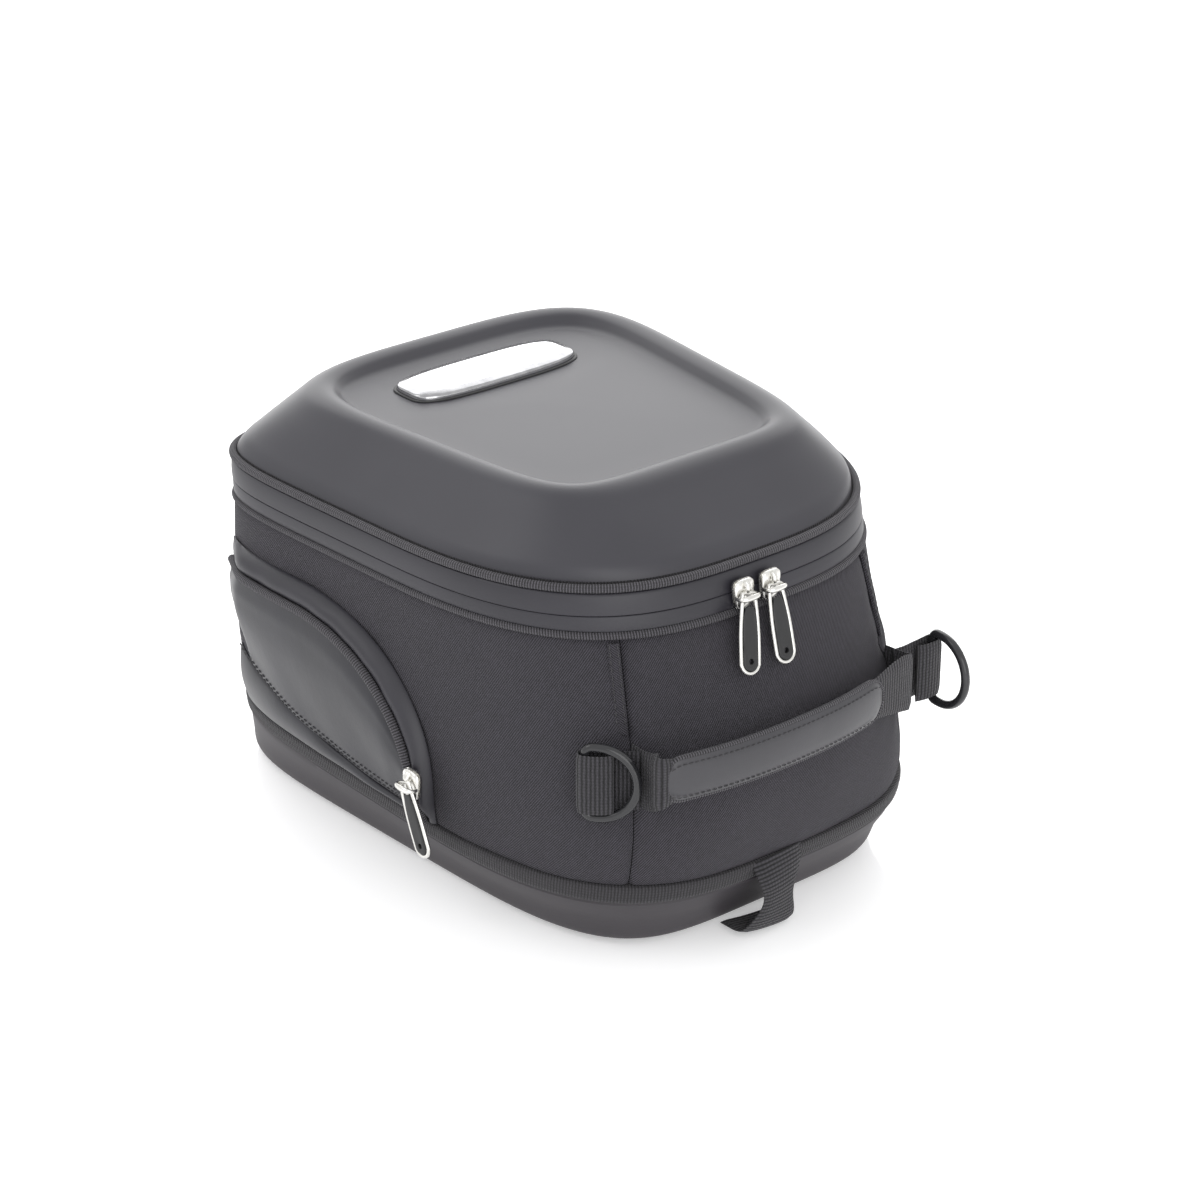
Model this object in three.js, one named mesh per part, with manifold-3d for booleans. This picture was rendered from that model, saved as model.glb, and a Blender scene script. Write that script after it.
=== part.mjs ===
// Motorcycle tank bag: a moulded base, fabric sides with a zipped pocket each, and a domed zip-off lid.
// Units are millimetres, +Z is up, and the origin is the centre of the base's underside.
// -Y is the end with the handle and the main zip's sliders, +Y is the end where the lid hinges.
import * as THREE from 'three';
import Module from 'manifold-3d';

const wasm = await Module();
wasm.setup();

// ---- Driving dimensions ----

const GAP = 0.3; // clearance between neighbouring pieces

// Horizontal outlines of the bag, from the floor to the lid's foot. Each is a superellipse whose front
// and rear halves have their own squareness, and whose sides taper towards the front.
const BAG_LEVELS = [
  { z: 0, half: 102, taper: 0.09, front: -149, rear: 150, squareFront: 4.6, squareRear: 5 },
  { z: 4, half: 106, taper: 0.08, front: -153, rear: 152, squareFront: 4.5, squareRear: 5 },
  { z: 16, half: 110, taper: 0.06, front: -159, rear: 151, squareFront: 4, squareRear: 5 },
  { z: 30, half: 117, taper: 0.02, front: -168, rear: 147, squareFront: 3.4, squareRear: 5.2 },
  { z: 60, half: 121, taper: 0.03, front: -174, rear: 143, squareFront: 3, squareRear: 5.4 },
  { z: 90, half: 121, taper: 0.05, front: -171, rear: 140, squareFront: 2.8, squareRear: 5.8 },
  { z: 120, half: 120, taper: 0.07, front: -160, rear: 135, squareFront: 2.8, squareRear: 6.2 },
  { z: 156, half: 120, taper: 0.08, front: -144, rear: 127, squareFront: 3, squareRear: 6.5 },
  { z: 178, half: 119, taper: 0.08, front: -139, rear: 129, squareFront: 3, squareRear: 6.5 },
];
const CREST = { z: 209.3, half: 87.6, taper: 0.13, front: -96, rear: 107, squareFront: 5.6, squareRear: 3.9 };

const BASE_TOP = 30;
const BASE_WALL = 3;
const BOARD_THICK = 3;
const BINDING_TOP = 40;
const PANEL_WALL = 3.5;
const PANEL_TOP = 153;
const RIM_TOP = 156.5;
const ZIP_LINE = 163.85;
const BAND_TOP = 174;
const BAND_WALL = 2.5;
const LID_FOOT = 178;
const BINDING_PROUD = 1;
const PIPING_RADIUS = 2.1;

// Seams, as shares of the way round the bag from the middle of the front.
const FRONT_SEAM_LOW = 0.091;
const FRONT_SEAM_HIGH = 0.083;
const REAR_SEAM = 0.405;
const ZIP_END = 0.43;

// The lid's dome from its foot over the ridge to the sunken top: how far the outline has changed
// from the foot to the crest, how far it lies inside that outline, and its height.
const DOME_OUTSIDE = [
  [0, 2.5, 178], [0.25, 1, 187], [0.5, 0, 196], [0.75, 0, 203.6], [0.9, 0, 207.5],
  [1, 0, 209.3], [1, 6, 208.7], [1, 12, 206], [1, 18, 203.8],
];
const DOME_INSIDE = [
  [0, 6.5, 178], [0.25, 5, 184.5], [0.5, 4.2, 192.5], [0.75, 4.6, 199.2], [0.9, 5, 202.8],
  [1, 7, 204.6], [1, 14, 201.8], [1, 20, 200],
];
const BADGE = { length: 98, depth: 34, corner: 13, thick: 4, y: 61, z: 204.1 };

// Side pocket, drawn on the side wall: y runs along the bag and z up it.
const POCKET = {
  yFront: -46, yRear: 109, floor: 40.8, turnY: 45,
  pipingTurnZ: 50, pipingReachY: 91, pipingReachZ: 71,
  edgeTurnZ: 60, edgeReachY: 97, edgeReachZ: 73,
  seamLow: 45, seamRise: 0.0015, seamFrom: -30,
  stripProud: 4, panelProud: 9, pipingProud: 9.5, rollProud: 6.5,
};
const POCKET_STATIONS = 18;

// Webbing, handle and D-rings.
const WEBBING_WIDTH = 30;
const WEBBING_THICK = 2;
const WEBBING_Z = 94;
const SEAM_X = 80;
const SEAM_Y = -149.5;
const GRIP = { height: 22, thick: 9, z: 102 };
const HANDLE_LIFT = GRIP.z - WEBBING_Z;
const GRIP_PATH = [[-84, -171.5], [-52, -177.5], [-18, -179.5], [18, -177.5], [50, -171.5]];
const WEBBING_LEFT = [[-76.4, -158, 0], [-76.8, -162.4, 0.3], [-80, -166.2, 0.8], [-86.8, -168.2, 1]];
const WEBBING_RIGHT = [[53.8, -170.8, 1], [64, -169.4, 0.9], [72.6, -166.4, 0.5], [76.4, -158, 0]];
const RING = { wire: 1.75, inside: 31.5, arm: 6 };
const TAB = { thick: 1.6, barAt: 21, bore: 2.6, returnLength: 12 };
const TAB_LEFT = { turn: 131.3, ring: -49.6, lift: 7.4 };
const TAB_RIGHT = { turn: 6, ring: -93, lift: 6.4 };

// Zip sliders and their pulls.
const SLIDER = { width: 13, length: 15, thick: 4, bar: 1.6, barHeight: 2, reach: 4.2, span: 13.2, leg: 1.8 };
const PULL = { wire: 0.85, topHalf: 3.4, bottomHalf: 5.1, rise: 2, drop: 34, behind: 2.3, insert: 2.2 };
const FRONT_SLIDERS = { middle: -6, apart: 8, y: -143.9, lean: 20 };
const POCKET_SLIDER = { y: -48.5, z: 66, x: 130.6 };

const STRAP = { x: -16, width: 32, thick: 2.2 };

const COLOURS = {
  fabric: [0x2b2a2c, 0.95, 0], coated: [0x343337, 0.5, 0], moulded: [0x2a2727, 0.6, 0],
  lid: [0x4b4b4e, 0.55, 0], webbing: [0x1e1d1f, 0.9, 0], metal: [0xc9c9c6, 0.25, 1],
  chrome: [0xe6e6e6, 0.08, 1], plastic: [0x111112, 0.25, 0], board: [0x1c1c1c, 0.8, 0],
};

// ---- Helpers ----

const group = new THREE.Group();

function addPiece(name, geometry, colour, parent = group) {
  const [color, roughness, metalness] = COLOURS[colour];
  const mesh = new THREE.Mesh(geometry, new THREE.MeshStandardMaterial({ color, roughness, metalness }));
  mesh.name = name;
  parent.add(mesh);
  return mesh;
}

function mix(a, b, t) {
  return a + (b - a) * t;
}

function mixLevels(low, high, t) {
  const level = {};
  for (const key of Object.keys(low)) {
    level[key] = mix(low[key], high[key], t);
  }
  return level;
}

function slopeAt(index, key) {
  const before = BAG_LEVELS[Math.max(index - 1, 0)];
  const after = BAG_LEVELS[Math.min(index + 1, BAG_LEVELS.length - 1)];
  return (after[key] - before[key]) / (after.z - before.z);
}

// The bag's outline at any height, on a smooth curve through the levels.
function bagLevel(z) {
  let index = 0;
  while (index < BAG_LEVELS.length - 2 && z > BAG_LEVELS[index + 1].z) {
    index += 1;
  }
  const low = BAG_LEVELS[index];
  const high = BAG_LEVELS[index + 1];
  const span = high.z - low.z;
  const t = (z - low.z) / span;
  const level = {};
  for (const key of Object.keys(low)) {
    const pullLow = slopeAt(index, key) * span;
    const pullHigh = slopeAt(index + 1, key) * span;
    level[key] = low[key] * (1 + 2 * t) * (1 - t) ** 2 + high[key] * t * t * (3 - 2 * t)
      + pullLow * t * (1 - t) ** 2 - pullHigh * t * t * (1 - t);
  }
  return level;
}

// Half width of a level at a distance y along the bag.
function halfWidthAt(level, y) {
  const centre = (level.front + level.rear) / 2;
  const along = (y - centre) / ((level.rear - level.front) / 2);
  const power = along < 0 ? level.squareFront : level.squareRear;
  return level.half * (1 + level.taper * along) * (1 - Math.abs(along) ** power) ** (1 / power);
}

const FINE = 720;

// One level as a closed fine outline, from the middle of the front towards +X.
function fineOutline(level, inset) {
  const centre = (level.front + level.rear) / 2;
  const reach = (level.rear - level.front) / 2;
  const bare = [];
  for (let i = 0; i < FINE; i += 1) {
    const angle = (2 * Math.PI * i) / FINE - Math.PI / 2 + 1e-5;
    const power = Math.sin(angle) < 0 ? level.squareFront : level.squareRear;
    const along = Math.sign(Math.sin(angle)) * Math.abs(Math.sin(angle)) ** (2 / power);
    const across = Math.sign(Math.cos(angle)) * Math.abs(Math.cos(angle)) ** (2 / power);
    bare.push([level.half * (1 + level.taper * along) * across, centre + reach * along]);
  }
  return bare.map(([x, y], i) => {
    const before = bare[(i + FINE - 1) % FINE];
    const after = bare[(i + 1) % FINE];
    const length = Math.hypot(after[0] - before[0], after[1] - before[1]);
    return [x - (inset * (after[1] - before[1])) / length, y + (inset * (after[0] - before[0])) / length];
  });
}

// Points at given shares of the way round a level, 0 at the middle of the front.
function outlinePoints(level, inset, shares) {
  const fine = fineOutline(level, inset);
  const lengths = [0];
  for (let i = 0; i < FINE; i += 1) {
    const [x, y] = fine[i];
    const [nextX, nextY] = fine[(i + 1) % FINE];
    lengths.push(lengths[i] + Math.hypot(nextX - x, nextY - y));
  }
  return shares.map((share) => {
    const target = (((share % 1) + 1) % 1) * lengths[FINE];
    const i = Math.max(lengths.findIndex((length) => length > target) - 1, 0);
    const t = (target - lengths[i]) / (lengths[i + 1] - lengths[i]);
    const [x, y] = fine[i];
    const [nextX, nextY] = fine[(i + 1) % FINE];
    return new THREE.Vector3(mix(x, nextX, t), mix(y, nextY, t), level.z);
  });
}

function sharesBetween(from, to, steps) {
  return Array.from({ length: steps + 1 }, (_, i) => mix(from, to, i / steps));
}

function sharesRound(count) {
  return Array.from({ length: count }, (_, i) => i / count);
}

// Skins a row of cross-sections, all with the same number of corners, into one closed solid. The ends
// are capped by pairing each section's first corners with its last.
function loft(sections, closed) {
  const corners = sections[0].length;
  const index = [];
  const at = (i, j) => (i % sections.length) * corners + (j % corners);
  const last = closed ? sections.length : sections.length - 1;
  for (let i = 0; i < last; i += 1) {
    for (let j = 0; j < corners; j += 1) {
      index.push(at(i, j), at(i + 1, j), at(i + 1, j + 1), at(i, j), at(i + 1, j + 1), at(i, j + 1));
    }
  }
  const cap = (i, flip) => {
    for (let low = 0, high = corners - 1; high - low > 1; low += 1, high -= 1) {
      const faces = [[low, low + 1, high]];
      if (high - low > 2) {
        faces.push([low + 1, high - 1, high]);
      }
      for (const [a, b, c] of faces) {
        index.push(at(i, a), at(i, flip ? c : b), at(i, flip ? b : c));
      }
    }
  };
  if (!closed) {
    cap(0, false);
    cap(sections.length - 1, true);
  }
  return facingOut(new THREE.BufferGeometry().setFromPoints(sections.flat()), index);
}

// Sets a geometry's triangles so that they face out of the solid.
function facingOut(geometry, index) {
  const position = geometry.getAttribute('position');
  const [a, b, c] = [new THREE.Vector3(), new THREE.Vector3(), new THREE.Vector3()];
  let volume = 0;
  for (let i = 0; i < index.length; i += 3) {
    a.fromBufferAttribute(position, index[i]);
    b.fromBufferAttribute(position, index[i + 1]);
    c.fromBufferAttribute(position, index[i + 2]);
    volume += a.dot(b.cross(c));
  }
  geometry.setIndex(volume < 0 ? index.reverse() : index);
  geometry.computeVertexNormals();
  return geometry;
}

// A closed stack of rings: outside rings from the first to the last, then inside rings back down.
function bowl(outside, inside) {
  const count = outside[0].length;
  const rings = [...outside, ...inside.slice().reverse()];
  const centreOf = (ring) => ring.reduce((sum, p) => sum.add(p), new THREE.Vector3()).divideScalar(count);
  const points = rings.flat();
  const index = [];
  const joinRings = (low, high) => {
    for (let j = 0; j < count; j += 1) {
      const [a, b] = [low * count + j, low * count + ((j + 1) % count)];
      const [c, d] = [high * count + ((j + 1) % count), high * count + j];
      index.push(a, b, c, a, c, d);
    }
  };
  const fan = (ring, flip) => {
    const centre = points.push(centreOf(rings[ring])) - 1;
    for (let j = 0; j < count; j += 1) {
      const [a, b] = [ring * count + j, ring * count + ((j + 1) % count)];
      index.push(centre, flip ? b : a, flip ? a : b);
    }
  };
  for (let i = 0; i < rings.length - 1; i += 1) {
    if (i !== outside.length - 1) {
      joinRings(i, i + 1);
    }
  }
  fan(outside.length - 1, false);
  fan(outside.length, true);
  joinRings(rings.length - 1, 0);
  return facingOut(new THREE.BufferGeometry().setFromPoints(points), index);
}

// A wall that follows the bag's outline: rows of [z, outer inset, inner inset] from bottom to top.
function wall(rows, shares, closed, sharesAt = () => shares) {
  const outer = rows.map(([z, inset]) => outlinePoints(bagLevel(z), inset, sharesAt(z)));
  const inner = rows.map(([z, , inset]) => outlinePoints(bagLevel(z), inset, sharesAt(z)));
  const sections = shares.map((_, i) => [
    ...outer.map((row) => row[i]),
    ...inner.map((row) => row[i]).reverse(),
  ]);
  return loft(sections, closed);
}

// A flat strip on edge: stations of [x, y, z of its middle], each with its own height.
function ribbon(stations, thick, heights) {
  const sections = stations.map(([x, y, z], i) => {
    const before = stations[Math.max(i - 1, 0)];
    const after = stations[Math.min(i + 1, stations.length - 1)];
    const length = Math.hypot(after[0] - before[0], after[1] - before[1]);
    const reach = thick / 2 / length;
    const side = [(before[1] - after[1]) * reach, (after[0] - before[0]) * reach];
    const half = heights[i] / 2;
    return [
      new THREE.Vector3(x + side[0], y + side[1], z - half),
      new THREE.Vector3(x + side[0], y + side[1], z + half),
      new THREE.Vector3(x - side[0], y - side[1], z + half),
      new THREE.Vector3(x - side[0], y - side[1], z - half),
    ];
  });
  return loft(sections, false);
}

function toManifold(geometry) {
  const vertices = [];
  const triangles = [];
  const known = new Map();
  const position = geometry.getAttribute('position');
  const order = geometry.index
    ? Array.from(geometry.index.array)
    : Array.from({ length: position.count }, (_, i) => i);
  for (const corner of order) {
    const point = [position.getX(corner), position.getY(corner), position.getZ(corner)];
    const key = point.map((value) => value.toFixed(4)).join();
    if (!known.has(key)) {
      known.set(key, known.size);
      vertices.push(...point);
    }
    triangles.push(known.get(key));
  }
  const mesh = {
    numProp: 3,
    vertProperties: new Float32Array(vertices),
    triVerts: new Uint32Array(triangles),
  };
  return new wasm.Manifold(new wasm.Mesh(mesh));
}

function fromManifold(solid) {
  const { vertProperties, triVerts } = solid.getMesh();
  const geometry = new THREE.BufferGeometry();
  geometry.setAttribute('position', new THREE.BufferAttribute(vertProperties, 3));
  geometry.setIndex(new THREE.BufferAttribute(triVerts, 1));
  geometry.computeVertexNormals();
  return geometry;
}

function join(first, second) {
  return fromManifold(toManifold(first).add(toManifold(second)));
}

// ---- Base, panels and bindings ----

const ROUND = sharesRound(60);

function addBase() {
  const heights = [BASE_TOP, 23, 16, 9, 4, 1.5, 0];
  const outside = heights.map((z) => outlinePoints(bagLevel(z), z === 0 ? 1.5 : 0, ROUND));
  const inside = [BASE_TOP, 20, 10, BASE_WALL].map((z) => outlinePoints(bagLevel(z), BASE_WALL, ROUND));
  addPiece('base_shell', bowl(outside, inside), 'moulded');
  const boardLow = BASE_WALL + GAP;
  const boardInset = BASE_WALL + 1;
  const low = outlinePoints({ ...bagLevel(boardLow), z: boardLow }, boardInset + 1, ROUND);
  const high = low.map((point) => point.clone().setZ(boardLow + BOARD_THICK));
  addPiece('base_board', bowl([low], [high]), 'board');
}

function addBindings() {
  const lower = [
    [BASE_TOP + GAP, -0.5, PANEL_WALL], [35, -BINDING_PROUD, PANEL_WALL], [BINDING_TOP, -0.5, PANEL_WALL],
  ];
  addPiece('lower_binding', wall(lower, ROUND, true), 'webbing');
  const rim = [
    [PANEL_TOP + GAP, 0, PANEL_WALL], [154.9, -BINDING_PROUD, PANEL_WALL], [RIM_TOP, 0, PANEL_WALL],
  ];
  addPiece('rim_binding', wall(rim, ROUND, true), 'webbing');
}

function frontSeam(z) {
  return mix(FRONT_SEAM_LOW, FRONT_SEAM_HIGH, (z - BINDING_TOP) / (PANEL_TOP - BINDING_TOP));
}

function addPanel(name, fromAt, toAt, steps) {
  const heights = [BINDING_TOP + GAP, 60, 80, 100, 118, 136, PANEL_TOP];
  const rows = heights.map((z) => [z, 0, PANEL_WALL]);
  const seam = 0.0002;
  const sharesAt = (z) => sharesBetween(fromAt(z) + seam, toAt(z) - seam, steps);
  addPiece(name, wall(rows, sharesAt(0), false, sharesAt), 'fabric');
}

function addPanels() {
  addPanel('front_panel', (z) => -frontSeam(z), frontSeam, 12);
  addPanel('side_panel_right', frontSeam, () => REAR_SEAM, 18);
  addPanel('rear_panel', () => REAR_SEAM, () => 1 - REAR_SEAM, 12);
  addPanel('side_panel_left', () => 1 - REAR_SEAM, (z) => 1 - frontSeam(z), 18);
}

// The main zip runs round the front and both sides; a fabric hinge joins the lid across the rear.
function addZipBands(lid) {
  const lower = [[RIM_TOP + GAP, 0, BAND_WALL], [ZIP_LINE - GAP / 2, 0, BAND_WALL]];
  const upper = [[ZIP_LINE + GAP / 2, 0, BAND_WALL], [BAND_TOP, 0, BAND_WALL]];
  const zip = sharesBetween(-ZIP_END, ZIP_END, 52);
  const hinge = sharesBetween(ZIP_END + 0.0005, 1 - ZIP_END - 0.0005, 8);
  addPiece('zip_band_lower', wall(lower, zip, false), 'coated');
  addPiece('hinge_strip_lower', wall(lower, hinge, false), 'fabric');
  addPiece('zip_band_upper', wall(upper, zip, false), 'coated', lid);
  addPiece('hinge_strip_upper', wall(upper, hinge, false), 'fabric', lid);
}

// ---- Lid ----

function domeRing([share, inset, z]) {
  const level = mixLevels(bagLevel(LID_FOOT), CREST, share);
  return outlinePoints({ ...level, z }, inset, ROUND);
}

function addLid(lid) {
  const middle = (BAND_TOP + LID_FOOT) / 2;
  const sections = ROUND.map((share) => {
    const [outer] = outlinePoints(bagLevel(middle), 0.9 - PIPING_RADIUS, [share]);
    const [inner] = outlinePoints(bagLevel(middle), 0.9 + PIPING_RADIUS, [share]);
    const centre = outer.clone().add(inner).divideScalar(2);
    return Array.from({ length: 8 }, (_, i) => {
      const angle = ((i + 0.5) * Math.PI) / 4;
      const point = centre.clone().lerp(outer, Math.cos(angle));
      const half = (LID_FOOT - BAND_TOP) / 2 - GAP / 2;
      return point.setZ(middle + (half * Math.sin(angle)) / Math.sin(Math.PI * 0.375));
    });
  });
  addPiece('lid_piping', loft(sections, true), 'webbing', lid);
  const foot = LID_FOOT + GAP;
  const lift = ([share, inset, z]) => domeRing([share, inset, Math.max(z, foot)]);
  addPiece('lid_shell', bowl(DOME_OUTSIDE.map(lift), DOME_INSIDE.map(lift)), 'lid', lid);
}

function roundedOutline(length, depth, corner) {
  const [x, y] = [length / 2, depth / 2];
  const shape = new THREE.Shape();
  shape.moveTo(corner - x, -y);
  shape.lineTo(x - corner, -y);
  shape.absarc(x - corner, corner - y, corner, -Math.PI / 2, 0);
  shape.lineTo(x, y - corner);
  shape.absarc(x - corner, y - corner, corner, 0, Math.PI / 2);
  shape.lineTo(corner - x, y);
  shape.absarc(corner - x, y - corner, corner, Math.PI / 2, Math.PI);
  shape.lineTo(-x, corner - y);
  shape.absarc(corner - x, corner - y, corner, Math.PI, Math.PI * 1.5);
  return shape;
}

function addBadge(lid) {
  const outline = roundedOutline(BADGE.length, BADGE.depth, BADGE.corner);
  const bevel = { bevelEnabled: true, bevelSegments: 1, bevelSize: 1, bevelThickness: 1, bevelOffset: -1 };
  const options = { depth: BADGE.thick - 2, steps: 1, curveSegments: 5, ...bevel };
  const badge = addPiece('badge_plate', new THREE.ExtrudeGeometry(outline, options), 'chrome', lid);
  badge.position.set(0, BADGE.y, BADGE.z + 1);
}

// ---- Side pockets ----

// A point on a side wall, proud of the fabric; side is -1 on the left and 1 on the right.
function onSide(side, y, z, proud) {
  return new THREE.Vector3(side * (halfWidthAt(bagLevel(z), y) + proud), y, z);
}

function pocketSeam(y) {
  return POCKET.seamLow + POCKET.seamRise * (y - POCKET.seamFrom) ** 2;
}

// Places along the pocket's mouth: up the front, round the corner and back along the top.
function pocketMouth(turnZ, reachY, reachZ) {
  const places = [[POCKET.turnY - reachY, POCKET.floor]];
  for (let i = 0; i <= 9; i += 1) {
    const angle = (i * Math.PI) / 18;
    places.push([POCKET.turnY - reachY * Math.cos(angle), turnZ + reachZ * Math.sin(angle)]);
  }
  for (const y of [62, 80, 93, 102, POCKET.yRear]) {
    places.push([y, turnZ + reachZ]);
  }
  return places;
}

function pipingTop(y) {
  const along = Math.min((y - POCKET.turnY) / POCKET.pipingReachY, 0);
  return POCKET.pipingTurnZ + POCKET.pipingReachZ * Math.sqrt(1 - along * along);
}

// A padded patch on the side wall between two edges, thickest in the middle.
function patch(side, yFrom, yTo, lowAt, highAt, proudAt) {
  const rows = 5;
  const sections = [];
  for (let i = 0; i <= POCKET_STATIONS; i += 1) {
    const y = mix(yFrom, yTo, i / POCKET_STATIONS);
    const outer = [];
    const inner = [];
    for (let j = 0; j <= rows; j += 1) {
      const z = mix(lowAt(y), highAt(y), j / rows);
      outer.push(onSide(side, y, z, proudAt(i / POCKET_STATIONS, j / rows)));
      inner.push(onSide(side, y, z, GAP + 0.1));
    }
    sections.push([...outer, ...inner.reverse()]);
  }
  return loft(sections, false);
}

function addPocket(side, suffix) {
  const margin = PIPING_RADIUS + GAP;
  const seamClear = (y) => pocketSeam(y) - GAP / 2;
  const panelFront = POCKET.yFront + margin;
  const easeIn = (t) => Math.sin((Math.min(t * 3, 1) * Math.PI) / 2);
  const stripProud = (along, up) => mix(1.5, POCKET.stripProud, easeIn(up));
  const panelProud = (along, up) => mix(POCKET.stripProud, POCKET.panelProud, Math.sin((up * Math.PI) / 2));
  const strip = patch(side, panelFront, POCKET.yRear, () => POCKET.floor, seamClear, stripProud);
  addPiece(`pocket_strip_${suffix}`, strip, 'fabric');
  const top = (y) => pipingTop(y) - margin - 4 * Math.max((POCKET.turnY - y) / POCKET.pipingReachY, 0) ** 4;
  const panel = patch(side, panelFront, POCKET.yRear, (y) => pocketSeam(y) + GAP / 2, top, panelProud);
  addPiece(`pocket_panel_${suffix}`, panel, 'coated');
  addPocketMouth(side, suffix);
}

function addPocketMouth(side, suffix) {
  const piping = pocketMouth(POCKET.pipingTurnZ, POCKET.pipingReachY, POCKET.pipingReachZ);
  const edge = pocketMouth(POCKET.edgeTurnZ, POCKET.edgeReachY, POCKET.edgeReachZ);
  const half = PIPING_RADIUS;
  const pipingSections = [];
  const rollSections = [];
  piping.forEach(([y, z], i) => {
    const [outY, outZ] = edge[i];
    const length = Math.hypot(outY - y, outZ - z);
    const place = (distance, proud) => {
      const t = distance / length;
      return onSide(side, mix(y, outY, t), mix(z, outZ, t), proud);
    };
    const top = POCKET.pipingProud;
    pipingSections.push([
      place(-half, 1), place(-half, top - 1.5), place(-half / 2, top), place(half / 2, top),
      place(half, top - 1.5), place(half, 1),
    ]);
    const start = half + GAP;
    const middle = (start + length) / 2;
    rollSections.push([
      place(start, GAP + 0.1), place(start, POCKET.rollProud), place(middle, POCKET.rollProud + 0.5),
      place(mix(middle, length, 0.6), POCKET.rollProud - 1), place(length, 2), place(length, GAP + 0.1),
    ]);
  });
  addPiece(`pocket_piping_${suffix}`, loft(pipingSections, false), 'webbing');
  addPiece(`pocket_zip_${suffix}`, loft(rollSections, false), 'coated');
}

// ---- Handle and D-rings ----

function addHandle(handle) {
  for (const [side, suffix] of [[-1, 'left'], [1, 'right']]) {
    const outside = side * (SEAM_X - 0.9);
    const stub = [[outside, SEAM_Y - 4.6, WEBBING_Z], [outside, SEAM_Y - 8, WEBBING_Z]];
    const anchor = ribbon(stub, WEBBING_THICK, [WEBBING_WIDTH, WEBBING_WIDTH]);
    addPiece(`handle_anchor_${suffix}`, anchor, 'webbing');
  }
  const raise = ([x, y, share]) => [x, y, WEBBING_Z + share * HANDLE_LIFT];
  const widths = (path) => path.map(([, , share]) => mix(WEBBING_WIDTH, WEBBING_WIDTH - 5, share));
  const left = ribbon(WEBBING_LEFT.map(raise), WEBBING_THICK, widths(WEBBING_LEFT));
  const right = ribbon(WEBBING_RIGHT.map(raise), WEBBING_THICK, widths(WEBBING_RIGHT));
  addPiece('handle_webbing_left', left, 'webbing', handle);
  addPiece('handle_webbing_right', right, 'webbing', handle);
  addPiece('handle_grip', gripSleeve(), 'coated', handle);
}

function gripSleeve() {
  const curve = new THREE.CatmullRomCurve3(GRIP_PATH.map(([x, y]) => new THREE.Vector3(x, y, GRIP.z)));
  const steps = 16;
  const sections = [];
  for (let i = 0; i <= steps; i += 1) {
    const share = i / steps;
    const point = curve.getPointAt(share);
    const tangent = curve.getTangentAt(share);
    const fullness = 1 - 0.45 * Math.abs(2 * share - 1) ** 8;
    sections.push(Array.from({ length: 10 }, (_, j) => {
      const angle = (j * Math.PI) / 5;
      const out = (GRIP.thick / 2) * fullness * Math.cos(angle);
      const up = (GRIP.height / 2) * fullness * Math.sin(angle);
      return new THREE.Vector3(point.x + tangent.y * out, point.y - tangent.x * out, GRIP.z + up);
    }));
  }
  return loft(sections, false);
}

function directionOf(degrees) {
  const angle = THREE.MathUtils.degToRad(degrees);
  return new THREE.Vector3(Math.cos(angle), Math.sin(angle), 0);
}

// Where a D-ring's bar stands, given the side of the bag and how its tab lies.
function ringBar(side, tab) {
  const outward = directionOf(tab.turn - 90 * side);
  const start = new THREE.Vector3(side * SEAM_X, SEAM_Y, WEBBING_Z);
  return start.addScaledVector(directionOf(tab.turn), TAB.barAt).addScaledVector(outward, tab.lift);
}

// The webbing tab folds round the ring's bar and is sewn back on itself.
function tabOutline() {
  const outer = TAB.bore + TAB.thick;
  const shape = new THREE.Shape();
  shape.moveTo(-TAB.barAt, -outer);
  shape.lineTo(0, -outer);
  shape.absarc(0, 0, outer, -Math.PI / 2, Math.PI / 2);
  shape.lineTo(-TAB.returnLength + outer, outer);
  shape.lineTo(-TAB.returnLength + outer, TAB.bore);
  shape.lineTo(0, TAB.bore);
  shape.absarc(0, 0, TAB.bore, Math.PI / 2, -Math.PI / 2, true);
  shape.lineTo(-TAB.barAt, -TAB.bore);
  return shape;
}

function addTab(side, suffix, tab) {
  const options = { depth: WEBBING_WIDTH, steps: 1, bevelEnabled: false, curveSegments: 5 };
  const geometry = new THREE.ExtrudeGeometry(tabOutline(), options);
  geometry.translate(0, 0, -WEBBING_WIDTH / 2);
  if (side > 0) {
    geometry.rotateX(Math.PI);
  }
  const piece = addPiece(`d_ring_tab_${suffix}`, geometry, 'webbing');
  piece.position.copy(ringBar(side, tab));
  piece.rotation.z = THREE.MathUtils.degToRad(tab.turn);
}

// A ring of round wire bent to a D: a bar, two arms and a half-round bow.
function addRing(side, suffix, tab) {
  const reach = RING.inside / 2 + RING.wire;
  const along = directionOf(tab.ring);
  const bar = ringBar(side, tab);
  const path = [[0, 0]];
  path.push([0, reach - 3], [1, reach - 0.9], [3, reach]);
  for (let i = 0; i <= 10; i += 1) {
    const angle = Math.PI / 2 - (i * Math.PI) / 10;
    path.push([RING.arm + reach * Math.cos(angle), reach * Math.sin(angle)]);
  }
  path.push([3, -reach], [1, 0.9 - reach], [0, 3 - reach]);
  const sections = path.map(([out, up], i) => {
    const before = path[(i + path.length - 1) % path.length];
    const after = path[(i + 1) % path.length];
    const length = Math.hypot(after[0] - before[0], after[1] - before[1]);
    const across = [(after[1] - before[1]) / length, -(after[0] - before[0]) / length];
    return Array.from({ length: 8 }, (_, j) => {
      const angle = (j * Math.PI) / 4;
      const wide = RING.wire * Math.cos(angle);
      const deep = RING.wire * Math.sin(angle);
      return bar.clone()
        .addScaledVector(along, out + across[0] * wide)
        .add(new THREE.Vector3(-along.y * deep, along.x * deep, up + across[1] * wide));
    });
  });
  addPiece(`d_ring_${suffix}`, loft(sections, true), 'plastic');
}

// ---- Zip sliders and pulls ----

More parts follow.
